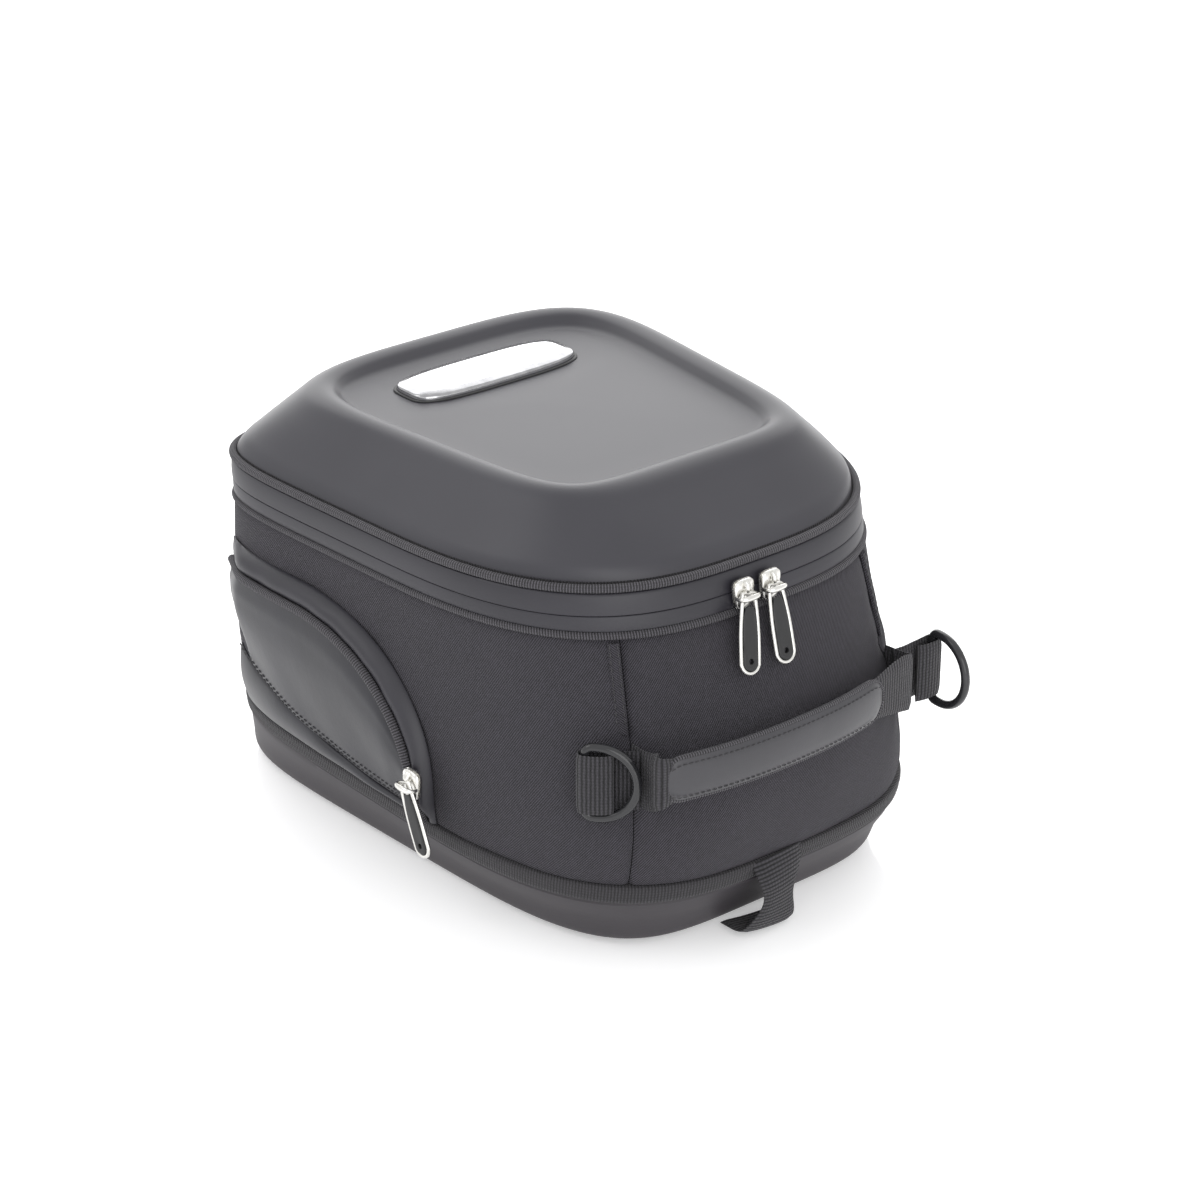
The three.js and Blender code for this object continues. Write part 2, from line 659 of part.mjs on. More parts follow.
// The slider's plate with its bridge, facing -Y, about the middle of the bridge's bar.
function sliderGeometry() {
  const plateOutline = roundedOutline(SLIDER.length, SLIDER.width, 3);
  const settings = { depth: SLIDER.thick, bevelEnabled: false, curveSegments: 3 };
  const plate = new THREE.ExtrudeGeometry(plateOutline, settings);
  plate.rotateX(Math.PI / 2);
  plate.translate(0, SLIDER.reach + SLIDER.thick, 0);
  const [half, bar, back] = [SLIDER.span / 2, SLIDER.bar / 2, SLIDER.reach + 0.5];
  const arch = new THREE.Shape();
  arch.moveTo(-half, back);
  arch.lineTo(-half, -bar + 1);
  arch.lineTo(-half + 1, -bar);
  arch.lineTo(half - 1, -bar);
  arch.lineTo(half, -bar + 1);
  arch.lineTo(half, back);
  arch.lineTo(half - SLIDER.leg, back);
  arch.lineTo(half - SLIDER.leg, bar);
  arch.lineTo(-half + SLIDER.leg, bar);
  arch.lineTo(-half + SLIDER.leg, back);
  const bridge = new THREE.ExtrudeGeometry(arch, { depth: SLIDER.barHeight, bevelEnabled: false });
  bridge.translate(0, 0, -SLIDER.barHeight / 2);
  return join(plate, bridge);
}

// The pull's wire loop in its own plane, as places across and down from the bridge's bar.
function pullPath() {
  const bottom = PULL.drop - PULL.bottomHalf;
  const path = [[0, -PULL.rise], [PULL.topHalf - 1, -PULL.rise], [PULL.topHalf, 1 - PULL.rise]];
  path.push([PULL.topHalf, 3], [PULL.bottomHalf, 12]);
  for (let i = 0; i <= 8; i += 1) {
    const angle = (i * Math.PI) / 8;
    path.push([PULL.bottomHalf * Math.cos(angle), bottom + PULL.bottomHalf * Math.sin(angle)]);
  }
  path.push([-PULL.bottomHalf, 12], [-PULL.topHalf, 3]);
  path.push([-PULL.topHalf, 1 - PULL.rise], [1 - PULL.topHalf, -PULL.rise]);
  return path;
}

function pullFrameGeometry() {
  const path = pullPath();
  const sections = path.map(([across, down], i) => {
    const before = path[(i + path.length - 1) % path.length];
    const after = path[(i + 1) % path.length];
    const length = Math.hypot(after[0] - before[0], after[1] - before[1]);
    const normal = [(after[1] - before[1]) / length, -(after[0] - before[0]) / length];
    return Array.from({ length: 6 }, (_, j) => {
      const angle = (j * Math.PI) / 3;
      const wide = PULL.wire * Math.cos(angle);
      const deep = PULL.wire * Math.sin(angle);
      return new THREE.Vector3(across + normal[0] * wide, PULL.behind + deep, -(down + normal[1] * wide));
    });
  });
  return loft(sections, true);
}

function pullInsertGeometry() {
  const inside = PULL.bottomHalf - PULL.wire - GAP;
  const narrow = PULL.topHalf - PULL.wire - GAP;
  const bottom = PULL.drop - PULL.bottomHalf;
  const shape = new THREE.Shape();
  shape.moveTo(-narrow, -4);
  shape.lineTo(-inside, -12.5);
  shape.lineTo(-inside, -bottom);
  shape.absarc(0, -bottom, inside, Math.PI, 2 * Math.PI);
  shape.lineTo(inside, -12.5);
  shape.lineTo(narrow, -4);
  const hole = new THREE.Path();
  hole.absarc(0, -bottom + 0.5, 1.5, 0, 2 * Math.PI, true);
  shape.holes.push(hole);
  const settings = { depth: PULL.insert, bevelEnabled: false, curveSegments: 4 };
  const geometry = new THREE.ExtrudeGeometry(shape, settings);
  geometry.rotateX(Math.PI / 2);
  geometry.translate(0, PULL.behind + PULL.insert / 2, 0);
  return geometry;
}

function addSlider(prefix, suffix, place, turn, lean) {
  const slider = new THREE.Group();
  slider.position.copy(place);
  slider.rotation.z = turn;
  group.add(slider);
  addPiece(`${prefix}_slider_${suffix}`, sliderGeometry(), 'metal', slider);
  const pull = new THREE.Group();
  pull.rotation.x = -THREE.MathUtils.degToRad(lean);
  slider.add(pull);
  addPiece(`${prefix}_pull_frame_${suffix}`, pullFrameGeometry(), 'metal', pull);
  addPiece(`${prefix}_pull_insert_${suffix}`, pullInsertGeometry(), 'plastic', pull);
}

function addSliders() {
  const barOut = SLIDER.reach + SLIDER.thick;
  for (const [side, suffix] of [[-1, 'left'], [1, 'right']]) {
    const x = FRONT_SLIDERS.middle + side * FRONT_SLIDERS.apart;
    const front = new THREE.Vector3(x, FRONT_SLIDERS.y - barOut, ZIP_LINE);
    addSlider('zip', suffix, front, 0, FRONT_SLIDERS.lean);
    const pocket = new THREE.Vector3(side * (POCKET_SLIDER.x + barOut), POCKET_SLIDER.y, POCKET_SLIDER.z);
    addSlider('pocket', suffix, pocket, (side * Math.PI) / 2, 0);
  }
}

// ---- Strap that anchors the front of the bag ----

function addFrontStrap() {
  const half = STRAP.width / 2;
  const line = [[-172.8, 38], [-174.5, 28], [-175, 16], [-174.5, 6], [-172, 2.4], [-164, 2], [-155.5, 2]];
  const sections = line.map(([y, z], i) => {
    const before = line[Math.max(i - 1, 0)];
    const after = line[Math.min(i + 1, line.length - 1)];
    const length = Math.hypot(after[0] - before[0], after[1] - before[1]);
    const reach = STRAP.thick / 2 / length;
    const side = [(before[1] - after[1]) * reach, (after[0] - before[0]) * reach];
    return [
      new THREE.Vector3(STRAP.x - half, y + side[0], z + side[1]),
      new THREE.Vector3(STRAP.x + half, y + side[0], z + side[1]),
      new THREE.Vector3(STRAP.x + half, y - side[0], z - side[1]),
      new THREE.Vector3(STRAP.x - half, y - side[0], z - side[1]),
    ];
  });
  addPiece('front_strap', loft(sections, false), 'webbing');
}

// ---- Assembly ----

const lid = new THREE.Group();
const handle = new THREE.Group();
group.add(lid, handle);

addBase();
addBindings();
addPanels();
addZipBands(lid);
addLid(lid);
addBadge(lid);
addPocket(-1, 'left');
addPocket(1, 'right');
addHandle(handle);
addTab(-1, 'left', TAB_LEFT);
addTab(1, 'right', TAB_RIGHT);
addRing(-1, 'left', TAB_LEFT);
addRing(1, 'right', TAB_RIGHT);
addSliders();
addFrontStrap();

export default group;
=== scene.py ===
# Looks for a motorcycle tank bag: fabric, coated zip tape, moulded base and lid, and metal trim.
# Everything is in metres in the CAD frame: +Z up, -Y towards the handle, origin under the base.
import math
import bmesh
import bpy
import numpy as np
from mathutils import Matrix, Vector


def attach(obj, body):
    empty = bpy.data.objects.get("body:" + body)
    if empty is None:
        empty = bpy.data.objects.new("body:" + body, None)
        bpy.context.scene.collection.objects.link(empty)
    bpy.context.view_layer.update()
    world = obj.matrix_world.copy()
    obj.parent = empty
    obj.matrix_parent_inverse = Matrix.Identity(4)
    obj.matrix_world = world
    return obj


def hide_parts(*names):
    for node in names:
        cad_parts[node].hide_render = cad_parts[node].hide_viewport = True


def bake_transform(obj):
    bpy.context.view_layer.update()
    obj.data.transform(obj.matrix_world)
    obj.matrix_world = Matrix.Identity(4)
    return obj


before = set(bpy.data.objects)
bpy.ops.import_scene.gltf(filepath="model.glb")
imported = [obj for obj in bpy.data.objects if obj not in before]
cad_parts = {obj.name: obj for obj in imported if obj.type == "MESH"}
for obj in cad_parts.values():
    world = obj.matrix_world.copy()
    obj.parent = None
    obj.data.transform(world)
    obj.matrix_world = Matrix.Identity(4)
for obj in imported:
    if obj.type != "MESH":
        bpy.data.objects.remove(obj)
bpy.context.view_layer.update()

MM = 0.001

# ---- Driving dimensions, in millimetres as in the CAD model ----

# z, half width, taper, front y, rear y, front squareness, rear squareness
LEVELS = np.array([
    (0, 102, 0.09, -149, 150, 4.6, 5),
    (4, 106, 0.08, -153, 152, 4.5, 5),
    (16, 110, 0.06, -159, 151, 4, 5),
    (30, 117, 0.02, -168, 147, 3.4, 5.2),
    (60, 121, 0.03, -174, 143, 3, 5.4),
    (90, 121, 0.05, -171, 140, 2.8, 5.8),
    (120, 120, 0.07, -160, 135, 2.8, 6.2),
    (156, 120, 0.08, -144, 127, 3, 6.5),
    (178, 119, 0.08, -139, 129, 3, 6.5),
])
CREST = np.array((209.3, 87.6, 0.13, -96, 107, 5.6, 3.9))
FINE = 1440

BASE_TOP = 30
BINDING_TOP = 40
PANEL_TOP = 153
RIM_TOP = 156.5
ZIP_LINE = 163.85
BAND_TOP = 174
LID_FOOT = 178.3
PANEL_WALL = 3.5
FRONT_SEAM_LOW = 0.091
FRONT_SEAM_HIGH = 0.083
REAR_SEAM = 0.405
ZIP_END = 0.43

POCKET_FRONT, POCKET_REAR, POCKET_FLOOR = -46, 109, 40.8
POCKET_TURN_Y = 45
PIPING_TURN_Z, PIPING_REACH_Y, PIPING_REACH_Z = 50, 91, 71
EDGE_TURN_Z, EDGE_REACH_Y, EDGE_REACH_Z = 60, 97, 73
PIPING_RADIUS = 2.3

WEBBING_Z = 94
SEAM_X, SEAM_Y = 80, -149.5
GRIP_Z, GRIP_HEIGHT, GRIP_THICK = 102, 22, 9
GRIP_LENGTH, GRIP_ROUND = 138, 11
GRIP_PATH = [(-84, -171.5), (-52, -177.5), (-18, -179.5), (18, -177.5), (50, -171.5)]
RING_WIRE, RING_INSIDE, RING_ARM = 2.2, 31, 6
TAB_BAR, TAB_BORE, TAB_THICK = 21, 2.6, 1.6
TABS = {"left": (-1, 131.3, -49.6, 7.4), "right": (1, 6, -93, 6.4)}

BADGE_LENGTH, BADGE_DEPTH, BADGE_Y, BADGE_FOOT, BADGE_TOP = 98, 34, 61, 203.9, 208.1

# ---- The bag's outline ----


def level_at(z):
    """The outline's numbers at one height, on a smooth curve through the levels."""
    heights = LEVELS[:, 0]
    i = int(np.clip(np.searchsorted(heights, z) - 1, 0, len(LEVELS) - 2))
    span = heights[i + 1] - heights[i]
    t = (z - heights[i]) / span

    def slope(k):
        before, after = max(k - 1, 0), min(k + 1, len(LEVELS) - 1)
        return (LEVELS[after] - LEVELS[before]) / (heights[after] - heights[before])

    value = (LEVELS[i] * (1 + 2 * t) * (1 - t) ** 2 + LEVELS[i + 1] * t * t * (3 - 2 * t)
             + slope(i) * span * t * (1 - t) ** 2 - slope(i + 1) * span * t * t * (1 - t))
    value[0] = z
    return value


def outline(level, inset, shares):
    """Points at shares of the way round a level, from the middle of the front towards +X."""
    z, half, taper, front, rear, square_front, square_rear = level
    angle = 2 * np.pi * np.arange(FINE) / FINE - np.pi / 2 + 1e-5
    power = np.where(np.sin(angle) < 0, square_front, square_rear)
    along = np.sign(np.sin(angle)) * np.abs(np.sin(angle)) ** (2 / power)
    across = np.sign(np.cos(angle)) * np.abs(np.cos(angle)) ** (2 / power)
    x = half * (1 + taper * along) * across
    y = (front + rear) / 2 + (rear - front) / 2 * along
    step_x, step_y = np.roll(x, -1) - np.roll(x, 1), np.roll(y, -1) - np.roll(y, 1)
    length = np.hypot(step_x, step_y)
    x, y = x - inset * step_y / length, y + inset * step_x / length
    x, y = np.append(x, x[0]), np.append(y, y[0])
    run = np.concatenate([[0], np.cumsum(np.hypot(np.diff(x), np.diff(y)))])
    target = (np.asarray(shares) % 1) * run[-1]
    return np.stack([np.interp(target, run, x), np.interp(target, run, y), np.full(len(target), z)], axis=1)


def half_width(z, y):
    """Half the bag's width at a height and a place along it."""
    _, half, taper, front, rear, square_front, square_rear = level_at(z)
    along = (y - (front + rear) / 2) / ((rear - front) / 2)
    power = square_front if along < 0 else square_rear
    return half * (1 + taper * along) * (1 - abs(along) ** power) ** (1 / power)


def on_side(side, y, z, proud):
    return (side * (half_width(z, y) + proud), y, z)


def ease(t):
    t = np.clip(t, 0, 1)
    return t * t * (3 - 2 * t)


# ---- Mesh helpers ----


def make_piece(name, points, faces, uvs, material, sharp=math.radians(38)):
    """A mesh object from points in millimetres, with one UV per face corner in metres."""
    mesh = bpy.data.meshes.new(name)
    mesh.from_pydata((np.asarray(points) * MM).tolist(), [], faces)
    layer = mesh.uv_layers.new(name="UVMap")
    layer.data.foreach_set("uv", (np.asarray(uvs) * MM).ravel())
    mesh.validate()
    shape = bmesh.new()
    shape.from_mesh(mesh)
    bmesh.ops.recalc_face_normals(shape, faces=shape.faces)
    for edge in shape.edges:
        edge.smooth = len(edge.link_faces) < 2 or edge.calc_face_angle(0) < sharp
    for face in shape.faces:
        face.smooth = True
    shape.to_mesh(mesh)
    shape.free()
    piece = bpy.data.objects.new(name, mesh)
    bpy.context.scene.collection.objects.link(piece)
    piece.data.materials.append(material)
    return piece


def loft(name, sections, material, closed=False, sharp=math.radians(38)):
    """Skins a row of closed cross-sections, capping both ends unless the row closes on itself."""
    sections = np.asarray(sections, dtype=float)
    rows, corners = sections.shape[:2]
    middle = sections.mean(axis=1)
    run = np.concatenate([[0], np.cumsum(np.linalg.norm(np.diff(middle, axis=0), axis=1))])
    run = np.append(run, run[-1] + np.linalg.norm(middle[0] - middle[-1]))
    around = np.roll(sections[rows // 2], -1, axis=0) - sections[rows // 2]
    girth = np.concatenate([[0], np.cumsum(np.linalg.norm(around, axis=1))])
    faces, uvs = [], []
    for i in range(rows if closed else rows - 1):
        k = (i + 1) % rows
        for j in range(corners):
            m = (j + 1) % corners
            faces.append((i * corners + j, k * corners + j, k * corners + m, i * corners + m))
            uvs += [(run[i], girth[j]), (run[i + 1], girth[j]), (run[i + 1], girth[j + 1]), (run[i], girth[j + 1])]
    if not closed:
        for i in (0, rows - 1):
            for low in range(corners // 2 - 1):
                high = corners - 1 - low
                face = [i * corners + c for c in (low, low + 1, high - 1, high)]
                if low + 1 == high - 1:
                    face.pop()
                faces.append(tuple(face))
                uvs += [(run[i], girth[c % corners]) for c in face_corners(face, corners)]
    return make_piece(name, sections.reshape(-1, 3), faces, uvs, material, sharp)


def face_corners(face, corners):
    return [index % corners for index in face]


def tube(name, path, radius, material, closed=False, sides=12, flat=1.0):
    """A tube of round or flattened section along a path of points."""
    path = np.asarray(path, dtype=float)
    if closed:
        tangent = np.roll(path, -1, axis=0) - np.roll(path, 1, axis=0)
    else:
        tangent = np.gradient(path, axis=0)
    tangent /= np.linalg.norm(tangent, axis=1)[:, None]
    up = np.array((0.0, 0.0, 1.0))
    if abs(tangent[:, 2]).max() > 0.95:
        up = np.linalg.svd(path - path.mean(axis=0))[2][2]
    side = np.cross(tangent, up)
    side /= np.linalg.norm(side, axis=1)[:, None]
    lift = np.cross(side, tangent)
    radii = np.broadcast_to(radius, len(path))
    angles = 2 * np.pi * np.arange(sides) / sides
    sections = [point + r * (np.outer(np.cos(angles), s) * flat + np.outer(np.sin(angles), l))
                for point, s, l, r in zip(path, side, lift, radii)]
    return loft(name, sections, material, closed)


def smooth_path(points, count):
    """Evenly spaced points on a smooth curve through a few."""
    points = np.asarray(points, dtype=float)
    padded = np.vstack([2 * points[0] - points[1], points, 2 * points[-1] - points[-2]])
    fine = []
    for i in range(len(points) - 1):
        a, b, c, d = padded[i:i + 4]
        t = np.linspace(0, 1, 40, endpoint=False)[:, None]
        fine.append(0.5 * (2 * b + (c - a) * t + (2 * a - 5 * b + 4 * c - d) * t ** 2
                           + (3 * b - a - 3 * c + d) * t ** 3))
    fine = np.vstack(fine + [points[-1:]])
    run = np.concatenate([[0], np.cumsum(np.linalg.norm(np.diff(fine, axis=0), axis=1))])
    return np.stack([np.interp(np.linspace(0, run[-1], count), run, fine[:, k]) for k in range(fine.shape[1])], axis=1)


def ribbon(name, path, heights, thick, material, up=(0, 0, 1), crown=0.0):
    """Webbing on edge along a path: heights across it, with rounded selvedges."""
    path = np.asarray(path, dtype=float)
    tangent = np.gradient(path, axis=0)
    tangent /= np.linalg.norm(tangent, axis=1)[:, None]
    up = np.broadcast_to(np.asarray(up, dtype=float), path.shape)
    side = np.cross(tangent, up)
    side /= np.linalg.norm(side, axis=1)[:, None]
    heights = np.broadcast_to(heights, len(path))
    across = np.linspace(-0.5, 0.5, 9)
    body = np.sqrt(1 - (np.abs(across) * 2) ** 8) * 0.8 + 0.2
    sections = []
    for point, s, u, height in zip(path, side, up, heights):
        bow = crown * (1 - (2 * across) ** 2)
        front = point + np.outer(across * height, u) + np.outer(body * thick / 2 + bow, s)
        back = point + np.outer(across * height, u) + np.outer(-body * thick / 2 + bow, s)
        sections.append(np.vstack([front, back[::-1]]))
    return loft(name, sections, material)


def stitches(name, lines, material, pitch=3.4, length=2.5, radius=0.32):
    """Rows of raised thread: each line is a path of points with the surface's outward direction."""
    points, faces, uvs = [], [], []
    for path, outward in lines:
        path, outward = np.asarray(path, dtype=float), np.asarray(outward, dtype=float)
        run = np.concatenate([[0], np.cumsum(np.linalg.norm(np.diff(path, axis=0), axis=1))])
        for start in np.arange(0.5, run[-1] - length, pitch):
            ends = [np.array([np.interp(start + length * t, run, path[:, k]) for k in range(3)])
                    for t in (0, 0.25, 0.75, 1)]
            out = np.array([np.interp(start, run, outward[:, k]) for k in range(3)])
            out /= np.linalg.norm(out)
            along = (ends[3] - ends[0]) / np.linalg.norm(ends[3] - ends[0])
            side = np.cross(along, out)
            first = len(points)
            for end, size, rise in zip(ends, (0.45, 1, 1, 0.45), (-0.25, 0.12, 0.12, -0.25)):
                for k in range(6):
                    angle = k * np.pi / 3
                    points.append(end + out * (rise + radius * size * math.sin(angle)) + side * radius * size * math.cos(angle))
            for i in range(3):
                for k in range(6):
                    n = (k + 1) % 6
                    faces.append((first + i * 6 + k, first + i * 6 + n, first + i * 6 + 6 + n, first + i * 6 + 6 + k))
                    uvs += [(i, k), (i, k + 1), (i + 1, k + 1), (i + 1, k)]
            for i in (0, 3):
                faces.append(tuple(first + i * 6 + k for k in range(6)))
                uvs += [(0, k) for k in range(6)]
    return make_piece(name, points, faces, uvs, material, math.radians(80))


def settle(piece, body, slot, *nodes):
    """Puts a piece on its body and hides the CAD nodes that it stands for; the slot argument is not used."""
    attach(piece, body)
    if nodes:
        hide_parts(*nodes)
    return piece


# ---- Materials ----


class Nodes:
    """A small helper for building one material's node tree."""

    def __init__(self, name):
        self.material = bpy.data.materials.new(name)
        self.material.use_nodes = True
        self.tree = self.material.node_tree
        self.shader = self.tree.nodes["Principled BSDF"]

    def add(self, kind, **settings):
        node = self.tree.nodes.new(kind)
        for key, value in settings.items():
            if key in node.inputs:
                node.inputs[key].default_value = value
            else:
                setattr(node, key, value)
        return node

    def link(self, source, target):
        self.tree.links.new(source, target)

    def mapped(self, source="UV", rotation=(0, 0, 0), scale=(1, 1, 1)):
        coordinates = self.add("ShaderNodeTexCoord")
        mapping = self.add("ShaderNodeMapping", Rotation=rotation, Scale=scale)
        self.link(coordinates.outputs[source], mapping.inputs["Vector"])
        return mapping.outputs["Vector"]

    def noise(self, scale, detail=3.0, source="Object"):
        node = self.add("ShaderNodeTexNoise", Scale=scale, Detail=detail)
        self.link(self.mapped(source), node.inputs["Vector"])
        return node.outputs["Fac"]

    def wave(self, period, rotation=0.0, distortion=0.0, profile="SIN"):
        node = self.add("ShaderNodeTexWave", wave_profile=profile, Scale=0.31416 / period, Distortion=distortion)
        node.inputs["Detail Scale"].default_value = 2.0
        self.link(self.mapped("UV", (0, 0, rotation)), node.inputs["Vector"])
        return node.outputs["Fac"]

    def maths(self, operation, first, second):
        node = self.add("ShaderNodeMath", operation=operation)
        for socket, value in zip(node.inputs, (first, second)):
            if isinstance(value, (int, float)):
                socket.default_value = value
            else:
                self.link(value, socket)
        return node.outputs[0]

    def ramp(self, source, low, high, start=0.3, end=0.7):
        node = self.add("ShaderNodeValToRGB")
        node.color_ramp.elements[0].position = start
        node.color_ramp.elements[1].position = end
        node.color_ramp.elements[0].color = (*low, 1)
        node.color_ramp.elements[1].color = (*high, 1)
        self.link(source, node.inputs["Fac"])
        return node.outputs["Color"]

    def rough(self, source, low, high):
        node = self.add("ShaderNodeMapRange")
        node.inputs["To Min"].default_value = low
        node.inputs["To Max"].default_value = high
        self.link(source, node.inputs["Value"])
        self.link(node.outputs["Result"], self.shader.inputs["Roughness"])

    def bump(self, height, distance, strength=1.0, before=None):
        node = self.add("ShaderNodeBump", Strength=strength, Distance=distance)
        self.link(height, node.inputs["Height"])
        if before:
            self.link(before, node.inputs["Normal"])
        return node.outputs["Normal"]

    def finish(self, color=None, normal=None, **values):
        if color is not None:
            self.link(color, self.shader.inputs["Base Color"])
        if normal is not None:
            self.link(normal, self.shader.inputs["Normal"])
        for key, value in values.items():
            self.shader.inputs[key.replace("_", " ")].default_value = value
        return self.material


def twill_material():
    n = Nodes("charcoal_twill")
    diagonal = n.wave(0.95 * MM, math.radians(38), 1.1)
    cross = n.wave(0.6 * MM, math.radians(-52), 1.0)
    weave = n.maths("ADD", n.maths("MULTIPLY", diagonal, 0.7), n.maths("MULTIPLY", cross, 0.3))
    patchy = n.noise(420, 4)
    tone = n.maths("ADD", n.maths("MULTIPLY", weave, 0.75), n.maths("MULTIPLY", patchy, 0.35))
    color = n.ramp(tone, (0.0035, 0.003, 0.0042), (0.07, 0.064, 0.081), 0.25, 0.95)
    worn = n.bump(n.noise(26, 4), 0.0012, 0.5)
    n.rough(patchy, 0.72, 0.95)
    return n.finish(color, n.bump(weave, 0.00045, 1.0, worn), Sheen_Weight=0.03, Sheen_Roughness=0.5)


def webbing_material(name, rib, column, low, high, depth):
    n = Nodes(name)
    ribs = n.wave(rib * MM, 0, 0.8)
    columns = n.wave(column * MM, math.radians(90), 0.4)
    cells = n.maths("MULTIPLY", n.maths("POWER", ribs, 0.7), n.maths("ADD", n.maths("MULTIPLY", columns, 0.3), 0.7))
    fuzz = n.noise(900, 4)
    tone = n.maths("ADD", n.maths("MULTIPLY", cells, 0.8), n.maths("MULTIPLY", fuzz, 0.3))
    color = n.ramp(tone, low, high, 0.15, 0.95)
    n.rough(fuzz, 0.7, 0.95)
    normal = n.bump(cells, depth * MM, 1.0, n.bump(fuzz, 0.0003, 0.5))
    return n.finish(color, normal, Sheen_Weight=0.08, Sheen_Roughness=0.45)


def smooth_material(name, low, high, rough, grain, depth, wave=0.0, **values):
    """Moulded or coated surfaces: a fine grain, a slow unevenness and a little colour drift."""
    n = Nodes(name)
    slow = n.noise(18, 3)
    fine = n.noise(grain, 3)
    color = n.ramp(n.maths("ADD", n.maths("MULTIPLY", slow, 0.7), n.maths("MULTIPLY", fine, 0.3)), low, high)
    n.rough(n.maths("ADD", n.maths("MULTIPLY", slow, 0.6), n.maths("MULTIPLY", fine, 0.4)), rough[0], rough[1])
    uneven = n.bump(slow, 0.001, wave)
    return n.finish(color, n.bump(fine, depth * MM, 0.6, uneven), **values)


def leather_material(name, low, high, rough):
    n = Nodes(name)
    cells = n.add("ShaderNodeTexVoronoi", Scale=900.0, feature="DISTANCE_TO_EDGE")
    n.link(n.mapped("Object"), cells.inputs["Vector"])
    grain = cells.outputs["Distance"]
    slow = n.noise(22, 4)
    color = n.ramp(slow, low, high)
    n.rough(slow, rough[0], rough[1])
    folds = n.bump(slow, 0.0016, 0.45)
    return n.finish(color, n.bump(grain, 0.00012, 0.35, folds), Sheen_Weight=0.08, Coat_Weight=0.06, Coat_Roughness=0.4)


def metal_material(name, low, high, rough):
    n = Nodes(name)
    smear = n.noise(140, 4)
    n.rough(smear, rough[0], rough[1])
    color = n.ramp(smear, low, high)
    return n.finish(color, n.bump(n.noise(260, 2), 0.00005, 0.25), Metallic=1.0)


TWILL = twill_material()
WEBBING = webbing_material("ribbed_webbing", 1.9, 1.6, (0.002, 0.002, 0.0025), (0.05, 0.047, 0.055), 0.7)
BINDING = webbing_material("woven_binding", 1.5, 1.5, (0.009, 0.0085, 0.0095), (0.042, 0.039, 0.045), 0.4)
PIPING = webbing_material("woven_piping", 1.3, 1.3, (0.003, 0.003, 0.0035), (0.1, 0.094, 0.108), 0.6)
COATED = smooth_material("coated_tape", (0.019, 0.018, 0.0235), (0.028, 0.0265, 0.034), (0.4, 0.52), 1500, 0.05, 0.3)
LID = smooth_material("soft_touch_lid", (0.029, 0.028, 0.035), (0.035, 0.034, 0.042), (0.4, 0.47), 2200, 0.06, 0.05)
BASE = smooth_material("moulded_base", (0.03, 0.026, 0.031), (0.042, 0.037, 0.043), (0.5, 0.64), 1300, 0.08, 0.12)
BOARD = smooth_material("stiffener", (0.025, 0.025, 0.025), (0.045, 0.045, 0.045), (0.7, 0.85), 600, 0.1)
LINING = twill_material()
LINING.name = "lining_cloth"
POCKET = leather_material("pocket_skin", (0.008, 0.0078, 0.012), (0.0135, 0.0132, 0.0195), (0.41, 0.53))
GRIP = leather_material("grip_skin", (0.032, 0.031, 0.036), (0.045, 0.0435, 0.05), (0.38, 0.5))
THREAD = smooth_material("thread", (0.02, 0.019, 0.021), (0.05, 0.048, 0.052), (0.5, 0.7), 3000, 0.05)
CHROME = metal_material("bright_chrome", (0.7, 0.7, 0.72), (0.76, 0.76, 0.77), (0.06, 0.14))
# A darker copy of the chrome, used on the badge's bevel band as painted shade.
BADGE_BEVEL_SHADE = metal_material("badge_bevel_painted_shade", (0.3, 0.3, 0.31), (0.42, 0.42, 0.43), (0.16, 0.26))
NICKEL = metal_material("nickel_plate", (0.66, 0.65, 0.62), (0.8, 0.79, 0.76), (0.18, 0.32))
RUBBER = smooth_material("pull_rubber", (0.012, 0.012, 0.013), (0.022, 0.022, 0.023), (0.45, 0.6), 1800, 0.06)
PLASTIC = smooth_material("ring_gloss", (0.018, 0.018, 0.02), (0.028, 0.028, 0.031), (0.12, 0.22), 700, 0.02)
ZIP_COIL = smooth_material("zip_coil", (0.008, 0.008, 0.009), (0.014, 0.014, 0.015), (0.5, 0.7), 900, 0.05)

# ---- Base and walls ----

ROUND = np.arange(300) / 300


def ring_wall(name, rows, shares, material, closed=True, shares_at=None):
    """A wall round the bag: rows of (z, proud) outside, and one depth inside."""
    outer = [outline(level_at(z), -proud, shares_at(z) if shares_at else shares) for z, proud, _ in rows]
    inner = [outline(level_at(z), depth, shares_at(z) if shares_at else shares) for z, _, depth in reversed(rows)]
    sections = np.stack(outer + inner, axis=1)
    return loft(name, sections, material, closed)


